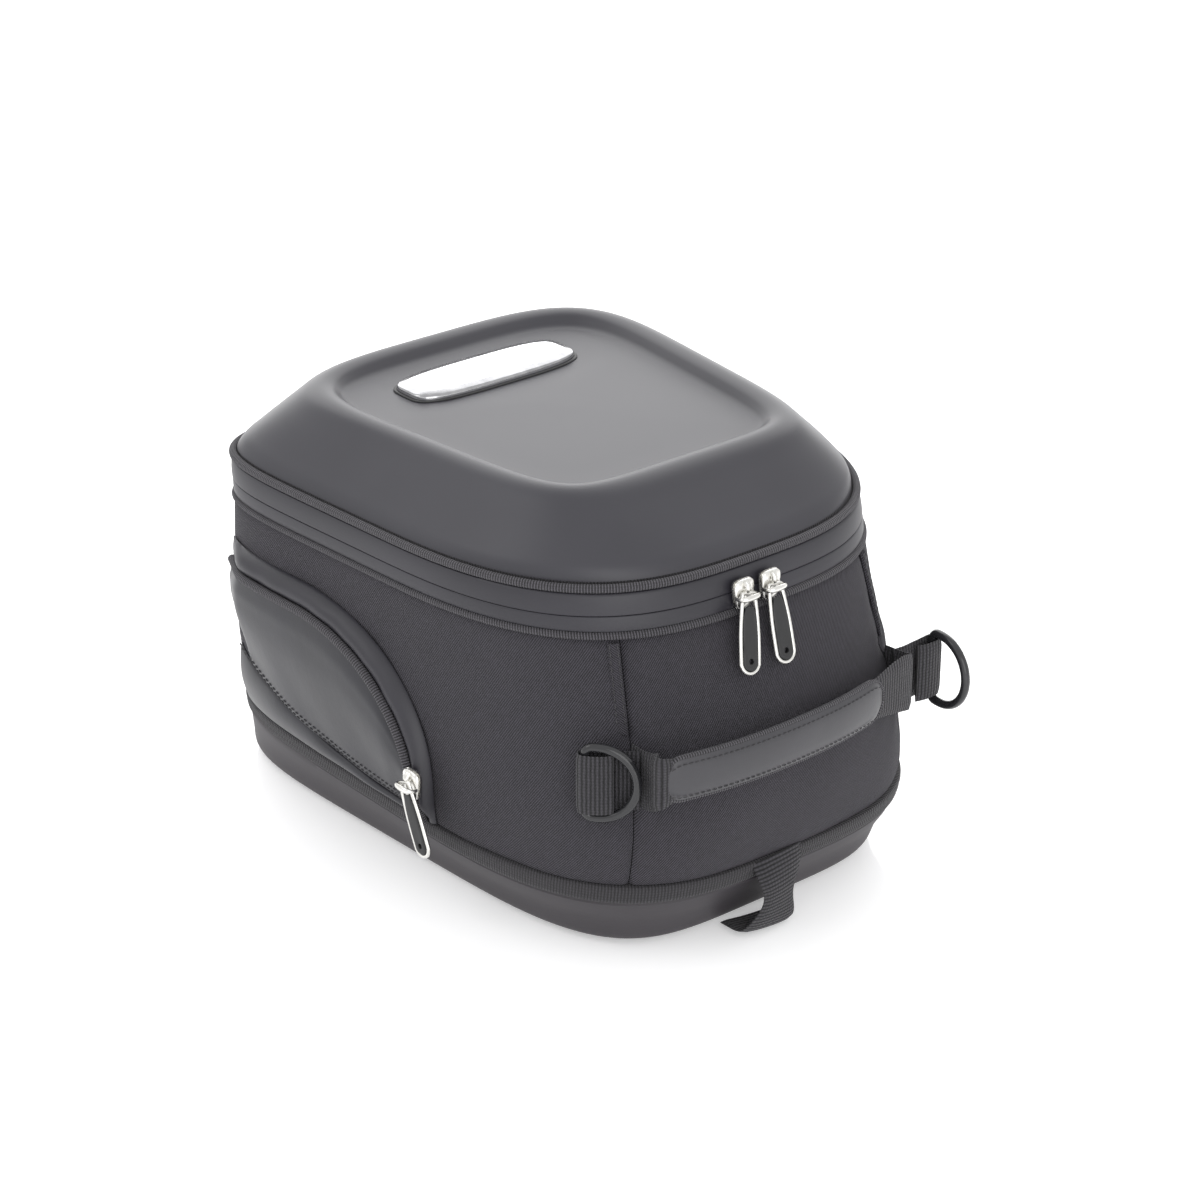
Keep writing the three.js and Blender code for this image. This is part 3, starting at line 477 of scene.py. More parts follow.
def build_base():
    rows = []
    for z in (30, 29.6, 28.5, 25, 20, 15, 11, 8, 6, 4.2, 2.8, 1.6, 0.8, 0.25, 0):
        tuck = 0.8 * ease((z - 28.5) / 1.5) + 4.2 * (1 - min(z / 6, 1)) ** 2.2
        rows.append(outline(level_at(z), tuck, ROUND))
    inside = [outline(level_at(max(z, 3)), 3, ROUND) for z in (3, 6, 15, 29.4)]
    rings = rows + [outline(level_at(0), inset, ROUND) for inset in (12, 40, 75)]
    points = np.vstack(rings + [[(0, 0, 0)]] + inside + [[(0, 0, 3)]])
    count = len(ROUND)
    faces, uvs = [], []

    def join(low, high):
        for j in range(count):
            k = (j + 1) % count
            faces.append((low + j, low + k, high + k, high + j))
            uvs.extend([(j, 0), (j + 1, 0), (j + 1, 1), (j, 1)])

    for i in range(len(rings) - 1):
        join(i * count, (i + 1) * count)
    underside = len(rings) * count
    first_inside = underside + 1
    for i in range(len(inside) - 1):
        join(first_inside + i * count, first_inside + (i + 1) * count)
    join(first_inside + (len(inside) - 1) * count, 0)
    floor_middle = first_inside + len(inside) * count
    for j in range(count):
        k = (j + 1) % count
        faces.append((underside, (len(rings) - 1) * count + j, (len(rings) - 1) * count + k))
        faces.append((floor_middle, first_inside + j, first_inside + k))
        uvs.extend([(0, 0), (j, 1), (j + 1, 1)] * 2)
    settle(make_piece("base_moulding", points, faces, uvs, BASE), "bag", "moulded_base", "base_shell")
    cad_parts["base_board"].data.materials.clear()
    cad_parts["base_board"].data.materials.append(BOARD)


def build_bindings():
    rows = [(30.3, 0.2, 3.5), (30.6, 0.8, 3.5), (31.6, 1.3, 3.5), (33.5, 1.5, 3.5), (35.2, 1.35, 3.5), (36.8, 1.55, 3.5),
            (38.4, 1.35, 3.5), (39.4, 0.9, 3.5), (39.8, 0.3, 3.5)]
    settle(ring_wall("base_binding", rows, ROUND, BINDING), "bag", "webbing", "lower_binding")
    rows = [(153.3, 0, 3.5), (153.6, 0.7, 3.5), (154.2, 1.2, 3.5), (155, 1.4, 3.5), (155.7, 1.2, 3.5), (156.3, 0.6, 3.5), (156.5, 0, 3.5)]
    settle(ring_wall("rim_piping", rows, ROUND, PIPING), "bag", "webbing", "rim_binding")


def front_seam(z):
    return FRONT_SEAM_LOW + (FRONT_SEAM_HIGH - FRONT_SEAM_LOW) * (z - BINDING_TOP) / (PANEL_TOP - BINDING_TOP)


def panel_relief(run, z, length, left_seam_front, right_seam_front):
    """How far the fabric stands from the plain wall: edges pulled in, slack between, puckers at webbing."""
    from_left, from_right = run, length - run
    relief = -1.5 * np.exp(-from_left / 1.3) - 1.5 * np.exp(-from_right / 1.3)
    relief += -0.9 * np.exp(-(z - BINDING_TOP) / 2.0) - 0.9 * np.exp(-(PANEL_TOP - z) / 2.0)
    relief += 0.45 * np.sin(run / 23 + z / 31) * np.sin(z / 19 + run / 57) + 0.25 * np.sin(run / 9.5 - z / 21)
    for here, distance in ((left_seam_front, from_left), (right_seam_front, from_right)):
        if here:
            reach = np.exp(-distance / 14) * np.exp(-((z - 98) / 26) ** 2)
            relief += 1.0 * reach * np.sin((z + distance * 0.9) / 3.1)
            relief += 0.8 * np.exp(-((distance - 9) / 6) ** 2) * np.exp(-((z - 122) / 22) ** 2)
    return relief


def build_panel(name, node, from_at, to_at, columns, seams):
    heights = np.linspace(BINDING_TOP + 0.3, PANEL_TOP, 54)
    outer, inner = [], []
    for z in heights:
        shares = np.linspace(from_at(z) + 0.0002, to_at(z) - 0.0002, columns)
        plain = outline(level_at(z), 0, shares)
        run = np.concatenate([[0], np.cumsum(np.linalg.norm(np.diff(plain, axis=0), axis=1))])
        relief = panel_relief(run, z, run[-1], *seams)
        direction = plain - outline(level_at(z), 1, shares)
        outer.append(plain + direction * relief[:, None])
        inner.append(outline(level_at(z), PANEL_WALL, shares))
    sections = np.stack(outer + inner[::-1], axis=1)
    panel = loft(name, sections, TWILL)
    panel.data.materials.append(LINING)
    settle(panel, "bag", "body_fabric", node)


def build_panels():
    build_panel("front_fabric", "front_panel", lambda z: -front_seam(z), front_seam, 90, (True, True))
    build_panel("right_fabric", "side_panel_right", front_seam, lambda z: REAR_SEAM, 130, (True, False))
    build_panel("rear_fabric", "rear_panel", lambda z: REAR_SEAM, lambda z: 1 - REAR_SEAM, 90, (False, False))
    build_panel("left_fabric", "side_panel_left", lambda z: 1 - REAR_SEAM, lambda z: 1 - front_seam(z), 130, (False, True))


def build_seam_bindings():
    """Tape over each seam on the inside, as a bound seam has."""
    seams = {"front_left": lambda z: 1 - front_seam(z), "front_right": front_seam,
             "rear_left": lambda z: 1 - REAR_SEAM, "rear_right": lambda z: REAR_SEAM}
    for name, share_at in seams.items():
        rows = [(z, -PANEL_WALL - 0.05, PANEL_WALL + 0.8) for z in np.linspace(BINDING_TOP + 0.5, PANEL_TOP - 0.2, 30)]
        tape = ring_wall(f"seam_tape_{name}", rows, None, BINDING, False,
                         shares_at=lambda z: share_at(z) + np.linspace(-0.006, 0.006, 7))
        settle(tape, "bag", "webbing")


def seam_line(z, offset, proud):
    """A point beside the left front seam: offset runs round the bag in millimetres."""
    share = 1 - front_seam(z) + offset / 930
    return outline(level_at(z), -proud, [share])[0]


def build_corner_seams():
    lines = []
    heights = np.linspace(PANEL_TOP - 1, 112, 30)
    for side, suffix in ((-1, "left"), (1, "right")):
        flip = np.array((1 if side < 0 else -1, 1, 1))
        sections = []
        for z in heights:
            fade = 1 if z > 116 else max((z - 108) / 8, 0.2)
            places = ((-6.2, -0.2), (-5.9, 1.0 * fade), (-3.4, 1.35 * fade), (-0.9, 1.0 * fade), (-0.5, -0.2))
            sections.append([seam_line(z, across, proud) * flip for across, proud in places])
        settle(loft(f"corner_tape_{suffix}", sections, TWILL), "bag", "body_fabric")
        for across in (-5.2, -1.6):
            path = np.array([seam_line(z, across, 1.15) * flip for z in heights[:-3]])
            outward = path - np.array([seam_line(z, across, -2) * flip for z in heights[:-3]])
            lines.append((path, outward))
    settle(stitches("corner_stitching", lines, THREAD), "bag", "body_fabric")


# ---- Main zip, hinge and lid ----


def build_zip():
    zip_shares = np.linspace(-ZIP_END, ZIP_END, 300)
    lower = [(156.7, -0.6), (156.8, 0), (157.6, 0.35), (160, 0.55), (162.8, 0.55), (163.5, 0.45), (163.72, 0.2), (163.76, -0.8)]
    upper = [(163.9, -0.8), (163.94, 0.3), (164.3, 0.65), (166, 0.8), (169, 0.8), (172.4, 0.5), (173.6, 0.1), (174, -0.6)]
    lower, upper = ([(z, proud, 2.5) for z, proud in rows] for rows in (lower, upper))
    settle(ring_wall("lower_tape", lower, zip_shares, COATED, False), "bag", "coated_tape", "zip_band_lower")
    settle(ring_wall("upper_tape", upper, zip_shares, COATED, False), "lid", "coated_tape", "zip_band_upper")
    hinge_shares = np.linspace(ZIP_END + 0.0005, 1 - ZIP_END - 0.0005, 80)
    rows = [(z, 0.35 - 0.7 * math.exp(-((z - ZIP_LINE) / 1.6) ** 2), 2.3) for z in np.linspace(157, 173.8, 26)]
    hinge = ring_wall("hinge_fabric", rows, hinge_shares, TWILL, False)
    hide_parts("hinge_strip_lower", "hinge_strip_upper")
    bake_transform(hinge)


DOME = [(0, 2.7, 178.3), (0.05, 2.2, 180.6), (0.14, 1.6, 184), (0.27, 1.2, 187.8), (0.5, 0.4, 194.6), (0.73, 0, 201.8),
        (0.88, 0, 206.8), (0.97, 0.2, 208.9), (1, 2.2, 209.7), (1, 5.2, 209.5), (1, 8.2, 208.4), (1, 10.6, 206.4), (1, 12.8, 204.5), (1, 15.5, 203.6), (1, 20, 203.4)]


def dome_ring(share, inset, z, count):
    level = LEVELS[-1] + (CREST - LEVELS[-1]) * share
    level[0] = z
    return outline(level, inset, np.arange(count) / count)


def build_dome():
    profile = smooth_path(DOME, 60)
    count = 300
    outside = [dome_ring(max(share, 0), inset, z, count) for share, inset, z in profile]
    centre = np.array((0, 4, 0))
    last = outside[-1]
    for share in (0.85, 0.7, 0.55, 0.4, 0.25, 0.1):
        ring = centre + (last - centre) * share
        ring[:, 2] = 203.4 + 0.6 * (1 - share ** 2)
        outside.append(ring)
    inside_profile = smooth_path([(1, 22, 199.6), (1, 14, 201.6), (1, 7, 204.6), (0.9, 5, 202.8), (0.5, 4.2, 192.5), (0, 6.5, 178.3)], 20)
    inside = [dome_ring(max(share, 0), inset, z, count) for share, inset, z in inside_profile]
    for ring in outside:
        away = ((ring[:, 0] / (BADGE_LENGTH * 0.56)) ** 4 + ((ring[:, 1] - BADGE_Y) / (BADGE_DEPTH * 0.68)) ** 4)
        ring[:, 2] -= 1.5 * np.exp(-away) * (ring[:, 2] > 203)
    points = np.vstack(outside + [[(0, 4, 204.1)]] + inside + [[(0, 4, 199.6)]])
    faces, uvs = [], []

    def join(low, high, row):
        for j in range(count):
            k = (j + 1) % count
            faces.append((low + j, low + k, high + k, high + j))
            uvs.extend([(j * 3, row), (j * 3 + 3, row), (j * 3 + 3, row + 2), (j * 3, row + 2)])

    for i in range(len(outside) - 1):
        join(i * count, (i + 1) * count, 2 * i)
    top = len(outside) * count
    start = top + 1
    for i in range(len(inside) - 1):
        join(start + i * count, start + (i + 1) * count, 2 * i)
    join(start + (len(inside) - 1) * count, 0, 0)
    roof = start + len(inside) * count
    for j in range(count):
        k = (j + 1) % count
        faces.append((top, top - count + j, top - count + k))
        faces.append((roof, start + j, start + k))
        uvs.extend([(0, 0), (j, 1), (j + 1, 1)] * 2)
    settle(make_piece("lid_dome", points, faces, uvs, LID), "lid", "lid_moulding", "lid_shell")


def build_lid_piping():
    middle = 176.1
    path = outline(level_at(middle), 0.6, np.arange(400) / 400)
    settle(tube("lid_welt", path, 2.05, PIPING, closed=True, sides=14), "lid", "webbing", "lid_piping")
    rows = [(z, -2.75, 3.7) for z in np.linspace(170, 178.2, 8)]
    settle(ring_wall("lid_trim", rows, ROUND, BINDING), "lid", "webbing")


def badge_outline(grow, count=160):
    """The badge's outline: long sides nearly straight, ends rounded and drawn in."""
    angle = 2 * np.pi * np.arange(count) / count
    half_x, half_y = BADGE_LENGTH / 2 + grow, BADGE_DEPTH / 2 + grow
    x = half_x * np.sign(np.cos(angle)) * np.abs(np.cos(angle)) ** 0.62
    y = half_y * np.sign(np.sin(angle)) * np.abs(np.sin(angle)) ** 0.5
    return x, y + BADGE_Y


def build_badge():
    rings = []
    for grow, z in ((-1, BADGE_FOOT - 0.6), (0, BADGE_FOOT - 0.5), (0, BADGE_FOOT + 1.2), (-0.4, BADGE_FOOT + 1.9), (-1, BADGE_FOOT + 2.3),
                    (-4.2, BADGE_FOOT + 3.1), (-4.8, BADGE_FOOT + 3.35), (-8, BADGE_FOOT + 3.7), (-12, BADGE_FOOT + 3.95), (-16, BADGE_FOOT + 4.05)):
        x, y = badge_outline(grow)
        rings.append(np.stack([x, y, np.full(len(x), z)], axis=1))
    count = len(rings[0])
    points = np.vstack(rings)
    faces, uvs = [], []
    for i in range(len(rings) - 1):
        for j in range(count):
            k = (j + 1) % count
            faces.append((i * count + j, i * count + k, (i + 1) * count + k, (i + 1) * count + j))
            uvs += [(j, i), (j + 1, i), (j + 1, i + 1), (j, i + 1)]
    for i in (0, len(rings) - 1):
        faces.append(tuple(range(i * count, (i + 1) * count)))
        uvs += [(j, 0) for j in range(count)]
    badge = make_piece("badge", points, faces, uvs, CHROME, math.radians(50))
    badge.data.materials.append(BADGE_BEVEL_SHADE)
    # The bevel band takes the darker chrome: painted shade for the darker bevel, not a finish of its own.
    for face in badge.data.polygons:
        if BADGE_FOOT + 0.8 < face.center.z / MM < BADGE_FOOT + 3.2:
            face.material_index = 1
    settle(badge, "lid", "bright_chrome", "badge_plate")
    # A black rubber ring a little wider than the badge, round its foot: painted shade for the dark gap round the badge.
    gap_shade_rings = []
    for grow, z in ((1.5, BADGE_FOOT - 2.4), (1.5, BADGE_FOOT - 0.5), (1.2, BADGE_FOOT - 0.2), (0.2, BADGE_FOOT - 0.2), (0.1, BADGE_FOOT - 1.2)):
        x, y = badge_outline(grow)
        gap_shade_rings.append(np.stack([x, y, np.full(len(x), z)], axis=1))
    settle(loft("badge_gap_shade", np.stack(gap_shade_rings, axis=1), RUBBER, closed=True), "lid", "pull_rubber")


# ---- Side pockets ----


def pocket_seam(y):
    return 45 + 0.0015 * (y + 30) ** 2


def mouth(turn_z, reach_y, reach_z, count):
    """The pocket mouth's line: up the front, round the corner and back along the top."""
    places = [(POCKET_TURN_Y - reach_y, POCKET_FLOOR), (POCKET_TURN_Y - reach_y, (POCKET_FLOOR + turn_z) / 2)]
    for angle in np.linspace(0, np.pi / 2, 25):
        places.append((POCKET_TURN_Y - reach_y * math.cos(angle), turn_z + reach_z * math.sin(angle)))
    places += [(y, turn_z + reach_z) for y in (62, 80, 93, 102, POCKET_REAR)]
    return smooth_path(places, count)


def piping_top(y):
    along = min((y - POCKET_TURN_Y) / PIPING_REACH_Y, 0)
    return PIPING_TURN_Z + PIPING_REACH_Z * math.sqrt(max(1 - along * along, 0))


def side_patch(name, side, low_at, high_at, proud_at, material):
    sections = []
    for y in np.linspace(POCKET_FRONT + 2.6, POCKET_REAR, 90):
        heights = np.linspace(low_at(y), high_at(y), 30)
        along = (y - POCKET_FRONT) / (POCKET_REAR - POCKET_FRONT)
        outer = [on_side(side, y, z, proud_at(along, i / 29, y, z)) for i, z in enumerate(heights)]
        inner = [on_side(side, y, z, 0.5) for z in heights]
        sections.append(outer + inner[::-1])
    return loft(name, sections, material)


def build_pocket(side, suffix):
    def strip_proud(along, up, y, z):
        puff = math.sin(math.pi * min(max(up, 0), 1)) ** 0.6
        return 1.2 + 2.4 * puff + 0.25 * math.sin(y / 7 + z / 5) * puff

    def panel_proud(along, up, y, z):
        swell = 3.4 + 5.4 * ease(up / 0.75) - 1.6 * max(up - 0.88, 0) / 0.12
        swell -= 2.6 * ease(1 - along / 0.16) + 4.6 * ease((along - 0.88) / 0.12)
        crease = -1.6 * math.exp(-up * 28)
        ripple = 0.35 * math.sin(y / 17 + z / 13) + 0.22 * math.sin(y / 6.5 - z / 9) * (1 - up)
        return swell + crease + ripple

    def top(y):
        return piping_top(y) - 2.6 - 4 * max((POCKET_TURN_Y - y) / PIPING_REACH_Y, 0) ** 4

    strip = side_patch(f"pocket_lower_{suffix}", side, lambda y: POCKET_FLOOR, lambda y: pocket_seam(y) - 0.2, strip_proud, POCKET)
    settle(strip, "bag", "pocket_skin", f"pocket_strip_{suffix}")
    panel = side_patch(f"pocket_face_{suffix}", side, lambda y: pocket_seam(y) + 0.1, top, panel_proud, POCKET)
    settle(panel, "bag", "pocket_skin", f"pocket_panel_{suffix}")
    lines = []
    for rise, proud in ((2.4, 3.3), (5.2, 4.0)):
        places = [(y, pocket_seam(y) + rise) for y in np.linspace(POCKET_FRONT + 8, POCKET_REAR - 3, 60)]
        path = [on_side(side, y, z, panel_proud(0.5, (z - pocket_seam(y)) / (top(y) - pocket_seam(y)), y, z) + 0.15) for y, z in places]
        lines.append((path, [(side, 0, 0)] * len(path)))
    settle(stitches(f"pocket_stitching_{suffix}", lines, THREAD), "bag", "pocket_skin")
    build_pocket_mouth(side, suffix)


def build_pocket_mouth(side, suffix):
    count = 150
    inner = mouth(PIPING_TURN_Z, PIPING_REACH_Y, PIPING_REACH_Z, count)
    outer = mouth(EDGE_TURN_Z, EDGE_REACH_Y, EDGE_REACH_Z, count)
    welt = [on_side(side, y, z, 7.4 - 3.2 * ease(1 - i / 16) - 5.0 * ease((i - count + 20) / 19)) for i, (y, z) in enumerate(inner)]
    welt_piece = tube(f"pocket_welt_{suffix}", welt, 2.25, PIPING, sides=12)
    settle(welt_piece, "bag", "webbing", f"pocket_piping_{suffix}")
    sections = []
    for i, ((y, z), (out_y, out_z)) in enumerate(zip(inner, outer)):
        length = math.hypot(out_y - y, out_z - z)
        run = i / (count - 1)
        full = ease(run / 0.06) * ease((1 - run) / 0.1) * 0.75 + 0.25
        ripple = 0.3 * math.sin(i / 2.7) * math.sin(i / 11)

        def place(share, proud):
            t = (2.0 + share * (length - 2.0)) / length
            return on_side(side, y + (out_y - y) * t, z + (out_z - z) * t, proud)

        shape = ((0, 0.6), (0, 5.4 * full), (0.05, 6.3 * full), (0.14, 6.9 * full + ripple), (0.3, 7.3 * full + ripple), (0.5, 7.0 * full + ripple),
                 (0.68, 6.0 * full + ripple), (0.84, 4.2 * full), (0.95, 2.2 * full), (1.0, 0.9), (1.0, 0.6))
        sections.append([place(share, proud) for share, proud in shape] + [place(0.5, 0.5)])
    settle(loft(f"pocket_roll_{suffix}", sections, COATED), "bag", "coated_tape", f"pocket_zip_{suffix}")


# ---- Handle, D-rings and strap ----


def build_handle():
    lift = GRIP_Z - WEBBING_Z
    left = [(-77.8, -145.5, 0), (-78.4, -153, 0), (-78.2, -160, 0.15), (-80.5, -166, 0.6), (-85, -170.5, 0.95), (-84, -173.4, 1),
            (-79, -173.8, 1), (-70, -174.9, 1)]
    right = [(36, -175, 1), (46, -173.2, 1), (56, -171.2, 1), (66, -169.2, 0.9), (74.5, -166, 0.55), (78.6, -160, 0.15), (79, -153, 0), (78, -145.5, 0)]
    for suffix, path, grip_end in (("left", left, -1), ("right", right, 0)):
        line = smooth_path([(x, y, WEBBING_Z + share * lift) for x, y, share in path], 60)
        from_grip = np.linspace(0, 1, 60) if grip_end == 0 else np.linspace(1, 0, 60)
        heights = 20 + 9.5 * ease(from_grip / 0.55)
        strap = ribbon(f"handle_strap_{suffix}", line, heights, 2.1, WEBBING)
        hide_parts(f"handle_anchor_{suffix}", f"handle_webbing_{suffix}")
        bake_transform(strap)
    build_grip()


def build_grip():
    line = smooth_path([(x, y, GRIP_Z) for x, y in GRIP_PATH], 70)
    tangent = np.gradient(line, axis=0)
    tangent /= np.linalg.norm(tangent, axis=1)[:, None]
    sections, edges, rims = [], [[], []], [[], []]
    for i, (point, along) in enumerate(zip(line, tangent)):
        share = abs(2 * i / 69 - 1)
        from_end = (1 - share) * GRIP_LENGTH / 2
        tall = GRIP_HEIGHT / 2 * math.sqrt(max(1 - max(1 - from_end / GRIP_ROUND, 0) ** 2, 0.03))
        outward = np.array((along[1], -along[0], 0))
        section = []
        for k in range(28):
            angle = 2 * np.pi * k / 28
            out = math.cos(angle)
            up = math.sin(angle)
            bulge = (4.6 if out > 0 else 3.4) * np.sign(out) * abs(out) ** 0.8 * math.sqrt(max(1 - share ** 10, 0.04))
            rim = 0.9 * math.exp(-((abs(up) - 0.93) / 0.05) ** 2)
            section.append(point + outward * (bulge + rim * np.sign(out + 1e-6) * 0.4) + np.array((0, 0, tall * np.sign(up) * abs(up) ** 0.9)))
        sections.append(section)
        for edge, sign in zip(edges, (1, -1)):
            if share < 0.96:
                edge.append(point + outward * 3.75 + np.array((0, 0, sign * tall * 0.74)))
        rims[0].append(point + outward * 1.2 + np.array((0, 0, tall * 0.97)))
        rims[1].append(point + outward * 1.2 - np.array((0, 0, tall * 0.97)))
    border = np.array(rims[0] + rims[1][::-1])
    settle(ring_tube("grip_border", border, np.array((-0.03, -1.0, 0)), 1.05, PIPING), "handle", "webbing")
    grip = loft("grip_sleeve", sections, GRIP)
    settle(grip, "handle", "grip_leather", "handle_grip")
    lines = [(edge, [(0, -1, 0.5 * sign)] * len(edge)) for edge, sign in zip(edges, (1, -1))]
    settle(stitches("grip_stitching", lines, THREAD, pitch=3.0, length=2.2, radius=0.28), "handle", "grip_leather")


def unit(degrees):
    return np.array((math.cos(math.radians(degrees)), math.sin(math.radians(degrees)), 0))


def ring_bar(side, turn, lift):
    start = np.array((side * SEAM_X, SEAM_Y, WEBBING_Z), dtype=float)
    return start + unit(turn) * TAB_BAR + unit(turn - 90 * side) * lift


def build_ring(suffix):
    side, turn, aim, lift = TABS[suffix]
    bar = ring_bar(side, turn, lift)
    reach = RING_INSIDE / 2 + RING_WIRE
    flat = [(0, 0), (0, reach - 4), (0.6, reach - 1.6), (2.4, reach - 0.2)]
    flat += [(RING_ARM + reach * math.cos(a), reach * math.sin(a)) for a in np.linspace(np.pi / 2, -np.pi / 2, 15)]
    flat += [(2.4, 0.2 - reach), (0.6, 1.6 - reach), (0, 4 - reach), (0, 0)]
    fine = smooth_path(flat, 97)[:-1]
    path = [bar + unit(aim) * out + np.array((0, 0, up)) for out, up in fine]
    normal = np.array((-math.sin(math.radians(aim)), math.cos(math.radians(aim)), 0))
    ring = ring_tube(f"ring_{suffix}", path, normal, RING_WIRE, PLASTIC)
    settle(ring, f"d_ring_{suffix}", "ring_plastic", f"d_ring_{suffix}")
    build_tab(suffix, side, turn, bar)


def ring_tube(name, path, normal, radius, material):
    """A round closed loop of wire lying in one plane."""
    path = np.asarray(path)
    tangent = np.roll(path, -1, axis=0) - np.roll(path, 1, axis=0)
    tangent /= np.linalg.norm(tangent, axis=1)[:, None]
    side = np.cross(tangent, normal)
    angles = 2 * np.pi * np.arange(16) / 16
    sections = [p + radius * (np.outer(np.cos(angles), s) + np.outer(np.sin(angles), normal)) for p, s in zip(path, side)]
    return loft(name, sections, material, closed=True)


def build_tab(suffix, side, turn, bar):
    along, outward = unit(turn), unit(turn - 90 * side)
    middle = TAB_BORE + TAB_THICK / 2
    flat = [(-TAB_BAR - 3, -middle - 1.5), (-TAB_BAR + 4, -middle - 0.3), (-12, -middle - 0.2), (-5, -middle), (0, -middle)]
    flat += [(middle * math.cos(a), middle * math.sin(a)) for a in np.linspace(-np.pi / 3, np.pi / 3, 5)]
    flat += [(0, middle), (-4, middle + 0.1), (-8.5, middle - 0.6), (-13, middle - 2.2)]
    fine = smooth_path(flat, 60)
    path = [bar + along * a + outward * b for a, b in fine]
    settle(ribbon(f"ring_tab_{suffix}", path, 29.6, TAB_THICK, WEBBING), "bag", "webbing", f"d_ring_tab_{suffix}")


def build_strap():
    line = [(-12, -170.6, 40), (-12, -173, 33), (-12.5, -174.4, 25), (-14, -174.2, 16), (-15.5, -172.6, 8), (-16.5, -170.2, 3.6),
            (-17, -167, 2.4), (-17, -162, 2.1), (-17, -157, 2.1)]
    path = smooth_path(line, 70)
    twist = np.linspace(0, 1, 70)
    up = np.stack([np.ones(70), 0.14 * np.sin(twist * 5), 0.05 * np.cos(twist * 4)], axis=1)
    up /= np.linalg.norm(up, axis=1)[:, None]
    width = 30 - 9 * np.exp(-((twist - 0.42) / 0.2) ** 2)
    settle(ribbon("anchor_strap", path, width, 2.0, WEBBING, up=up, crown=0.9), "bag", "webbing", "front_strap")


# ---- Zip sliders and pulls ----

SLIDER_BAR_Y = -152.1
FRONT_SLIDERS_MIDDLE, FRONT_SLIDERS_APART, PULL_LEAN = -6, 8, 20
POCKET_SLIDER = (137.2, -50.5, 66)
PULL_SWINGS = {"zip_left": -14, "zip_right": -4, "pocket_left": 24, "pocket_right": -24}


def placed(points, middle, turn):
    """Local points (across, back from the bridge's bar, up) put on the bag."""
    cos, sin = math.cos(turn), math.sin(turn)
    return [(middle[0] + x * cos - y * sin, middle[1] + x * sin + y * cos, middle[2] + z) for x, y, z in points]


def slider_plate(inset, back):
    """The slider's outline: square shoulders at the top, drawn in to a narrower rounded foot."""
    points = []
    for angle in np.arange(32) * np.pi / 16 + np.pi / 2:
        x = np.sign(np.cos(angle)) * abs(np.cos(angle)) ** 0.55
        z = np.sign(np.sin(angle)) * abs(np.sin(angle)) ** 0.55
        points.append((x * (5.4 + 0.9 * z - inset), back, z * (7.4 - inset)))
    return points


def build_slider(name, middle, turn):
    rows = [(0.8, 8.1), (0.1, 7.6), (0, 6.6), (0.9, 6.3), (0.9, 5.9), (0, 5.6), (0.1, 4.9), (0.7, 4.4), (2.2, 4.1), (3.6, 3.9)]
    sections = [placed(slider_plate(inset, back), middle, turn) for inset, back in rows]
    plate = loft(f"{name}_plate", sections, NICKEL, sharp=math.radians(50))
    arch = smooth_path([(-5.2, 4.8, -0.6), (-5.3, 2.6, -0.4), (-4.6, 0.5, 0), (-2.4, -0.4, 0.2), (2.4, -0.4, 0.2), (4.6, 0.5, 0), (5.3, 2.6, -0.4), (5.2, 4.8, -0.6)], 40)
    widths = 1.0 + 0.5 * np.sin(np.linspace(0, np.pi, 40)) ** 2
    bridge = tube(f"{name}_bridge", placed(arch, middle, turn), widths, NICKEL, flat=0.75)
    crown = tube(f"{name}_crown", placed([(0, 4.3, 6.4), (0, 3.2, 5.2), (0, 2.6, 3.9), (0, 2.9, 2.9), (0, 4.3, 2.4)], middle, turn), 1.5, NICKEL)
    body = name.replace("zip_", "zip_slider_").replace("pocket_", "pocket_slider_")
    settle(plate, body, "nickel", body)
    settle(bridge, body, "nickel")
    settle(crown, body, "nickel")


def pull_points(flat, lean, swing):
    """Places across, back and up in the pull's own plane, swung sideways and leaned out from the bag."""
    lean, swing = math.radians(lean), math.radians(swing)
    points = []
    for x, back, z in flat:
        x, z = x * math.cos(swing) - z * math.sin(swing), x * math.sin(swing) + z * math.cos(swing)
        points.append((x, back * math.cos(lean) + z * math.sin(lean), z * math.cos(lean) - back * math.sin(lean)))
    return points


def pull_outline(inset, top, count):
    """Right half of a pull from its top to the middle of its foot, then mirrored."""
    foot = 5.1 - inset
    right = [(0, top), (3.2 - inset, top), (3.6 - inset, top - 1.5), (4.6 - inset, -9), (foot, -17), (foot, -28.9)]
    right += [(foot * math.cos(a), -28.9 - foot * math.sin(a)) for a in np.linspace(0.25, np.pi / 2, 7)]
    left = [(-x, z) for x, z in reversed(right[1:-1])]
    return smooth_path(right + left + right[:1], count + 1)[:-1]


def build_pull(name, middle, turn, lean):
    swing = PULL_SWINGS[name]
    body = name.replace("zip_", "zip_pull_").replace("pocket_", "pocket_pull_")
    loop = [(x, 2.3, z) for x, z in pull_outline(0, 2, 96)]
    path = np.array(placed(pull_points(loop, lean, swing), middle, turn))
    flat_normal = placed(pull_points([(0, 0, 0), (0, 1, 0)], lean, swing), (0, 0, 0), turn)
    wire = ring_tube(f"{name}_loop", path, np.array(flat_normal[1]), 0.95, NICKEL)
    frame_node = body.replace("_pull_", "_pull_frame_")
    settle(wire, body, "nickel", frame_node)
    outer = pull_outline(0.95, -4.2, 72)
    hole = [(1.35 * math.sin(a), -28.6 + 1.35 * math.cos(a)) for a in 2 * np.pi * np.arange(72) / 72]
    rows = []
    for share, back in ((0, 3.2), (0, 1.5), (0.1, 1.15), (0.35, 1.0), (0.9, 1.0), (1, 1.2), (1, 3.3), (0.9, 3.5), (0.35, 3.5), (0.1, 3.4)):
        rows.append([(x + (hx - x) * share, back, z + (hz - z) * share) for (x, z), (hx, hz) in zip(outer, hole)])
    sections = [placed(pull_points(row, lean, swing), middle, turn) for row in rows]
    insert = loft(f"{name}_insert", sections, RUBBER, closed=True)
    settle(insert, body, "pull_rubber", body.replace("_pull_", "_pull_insert_"))


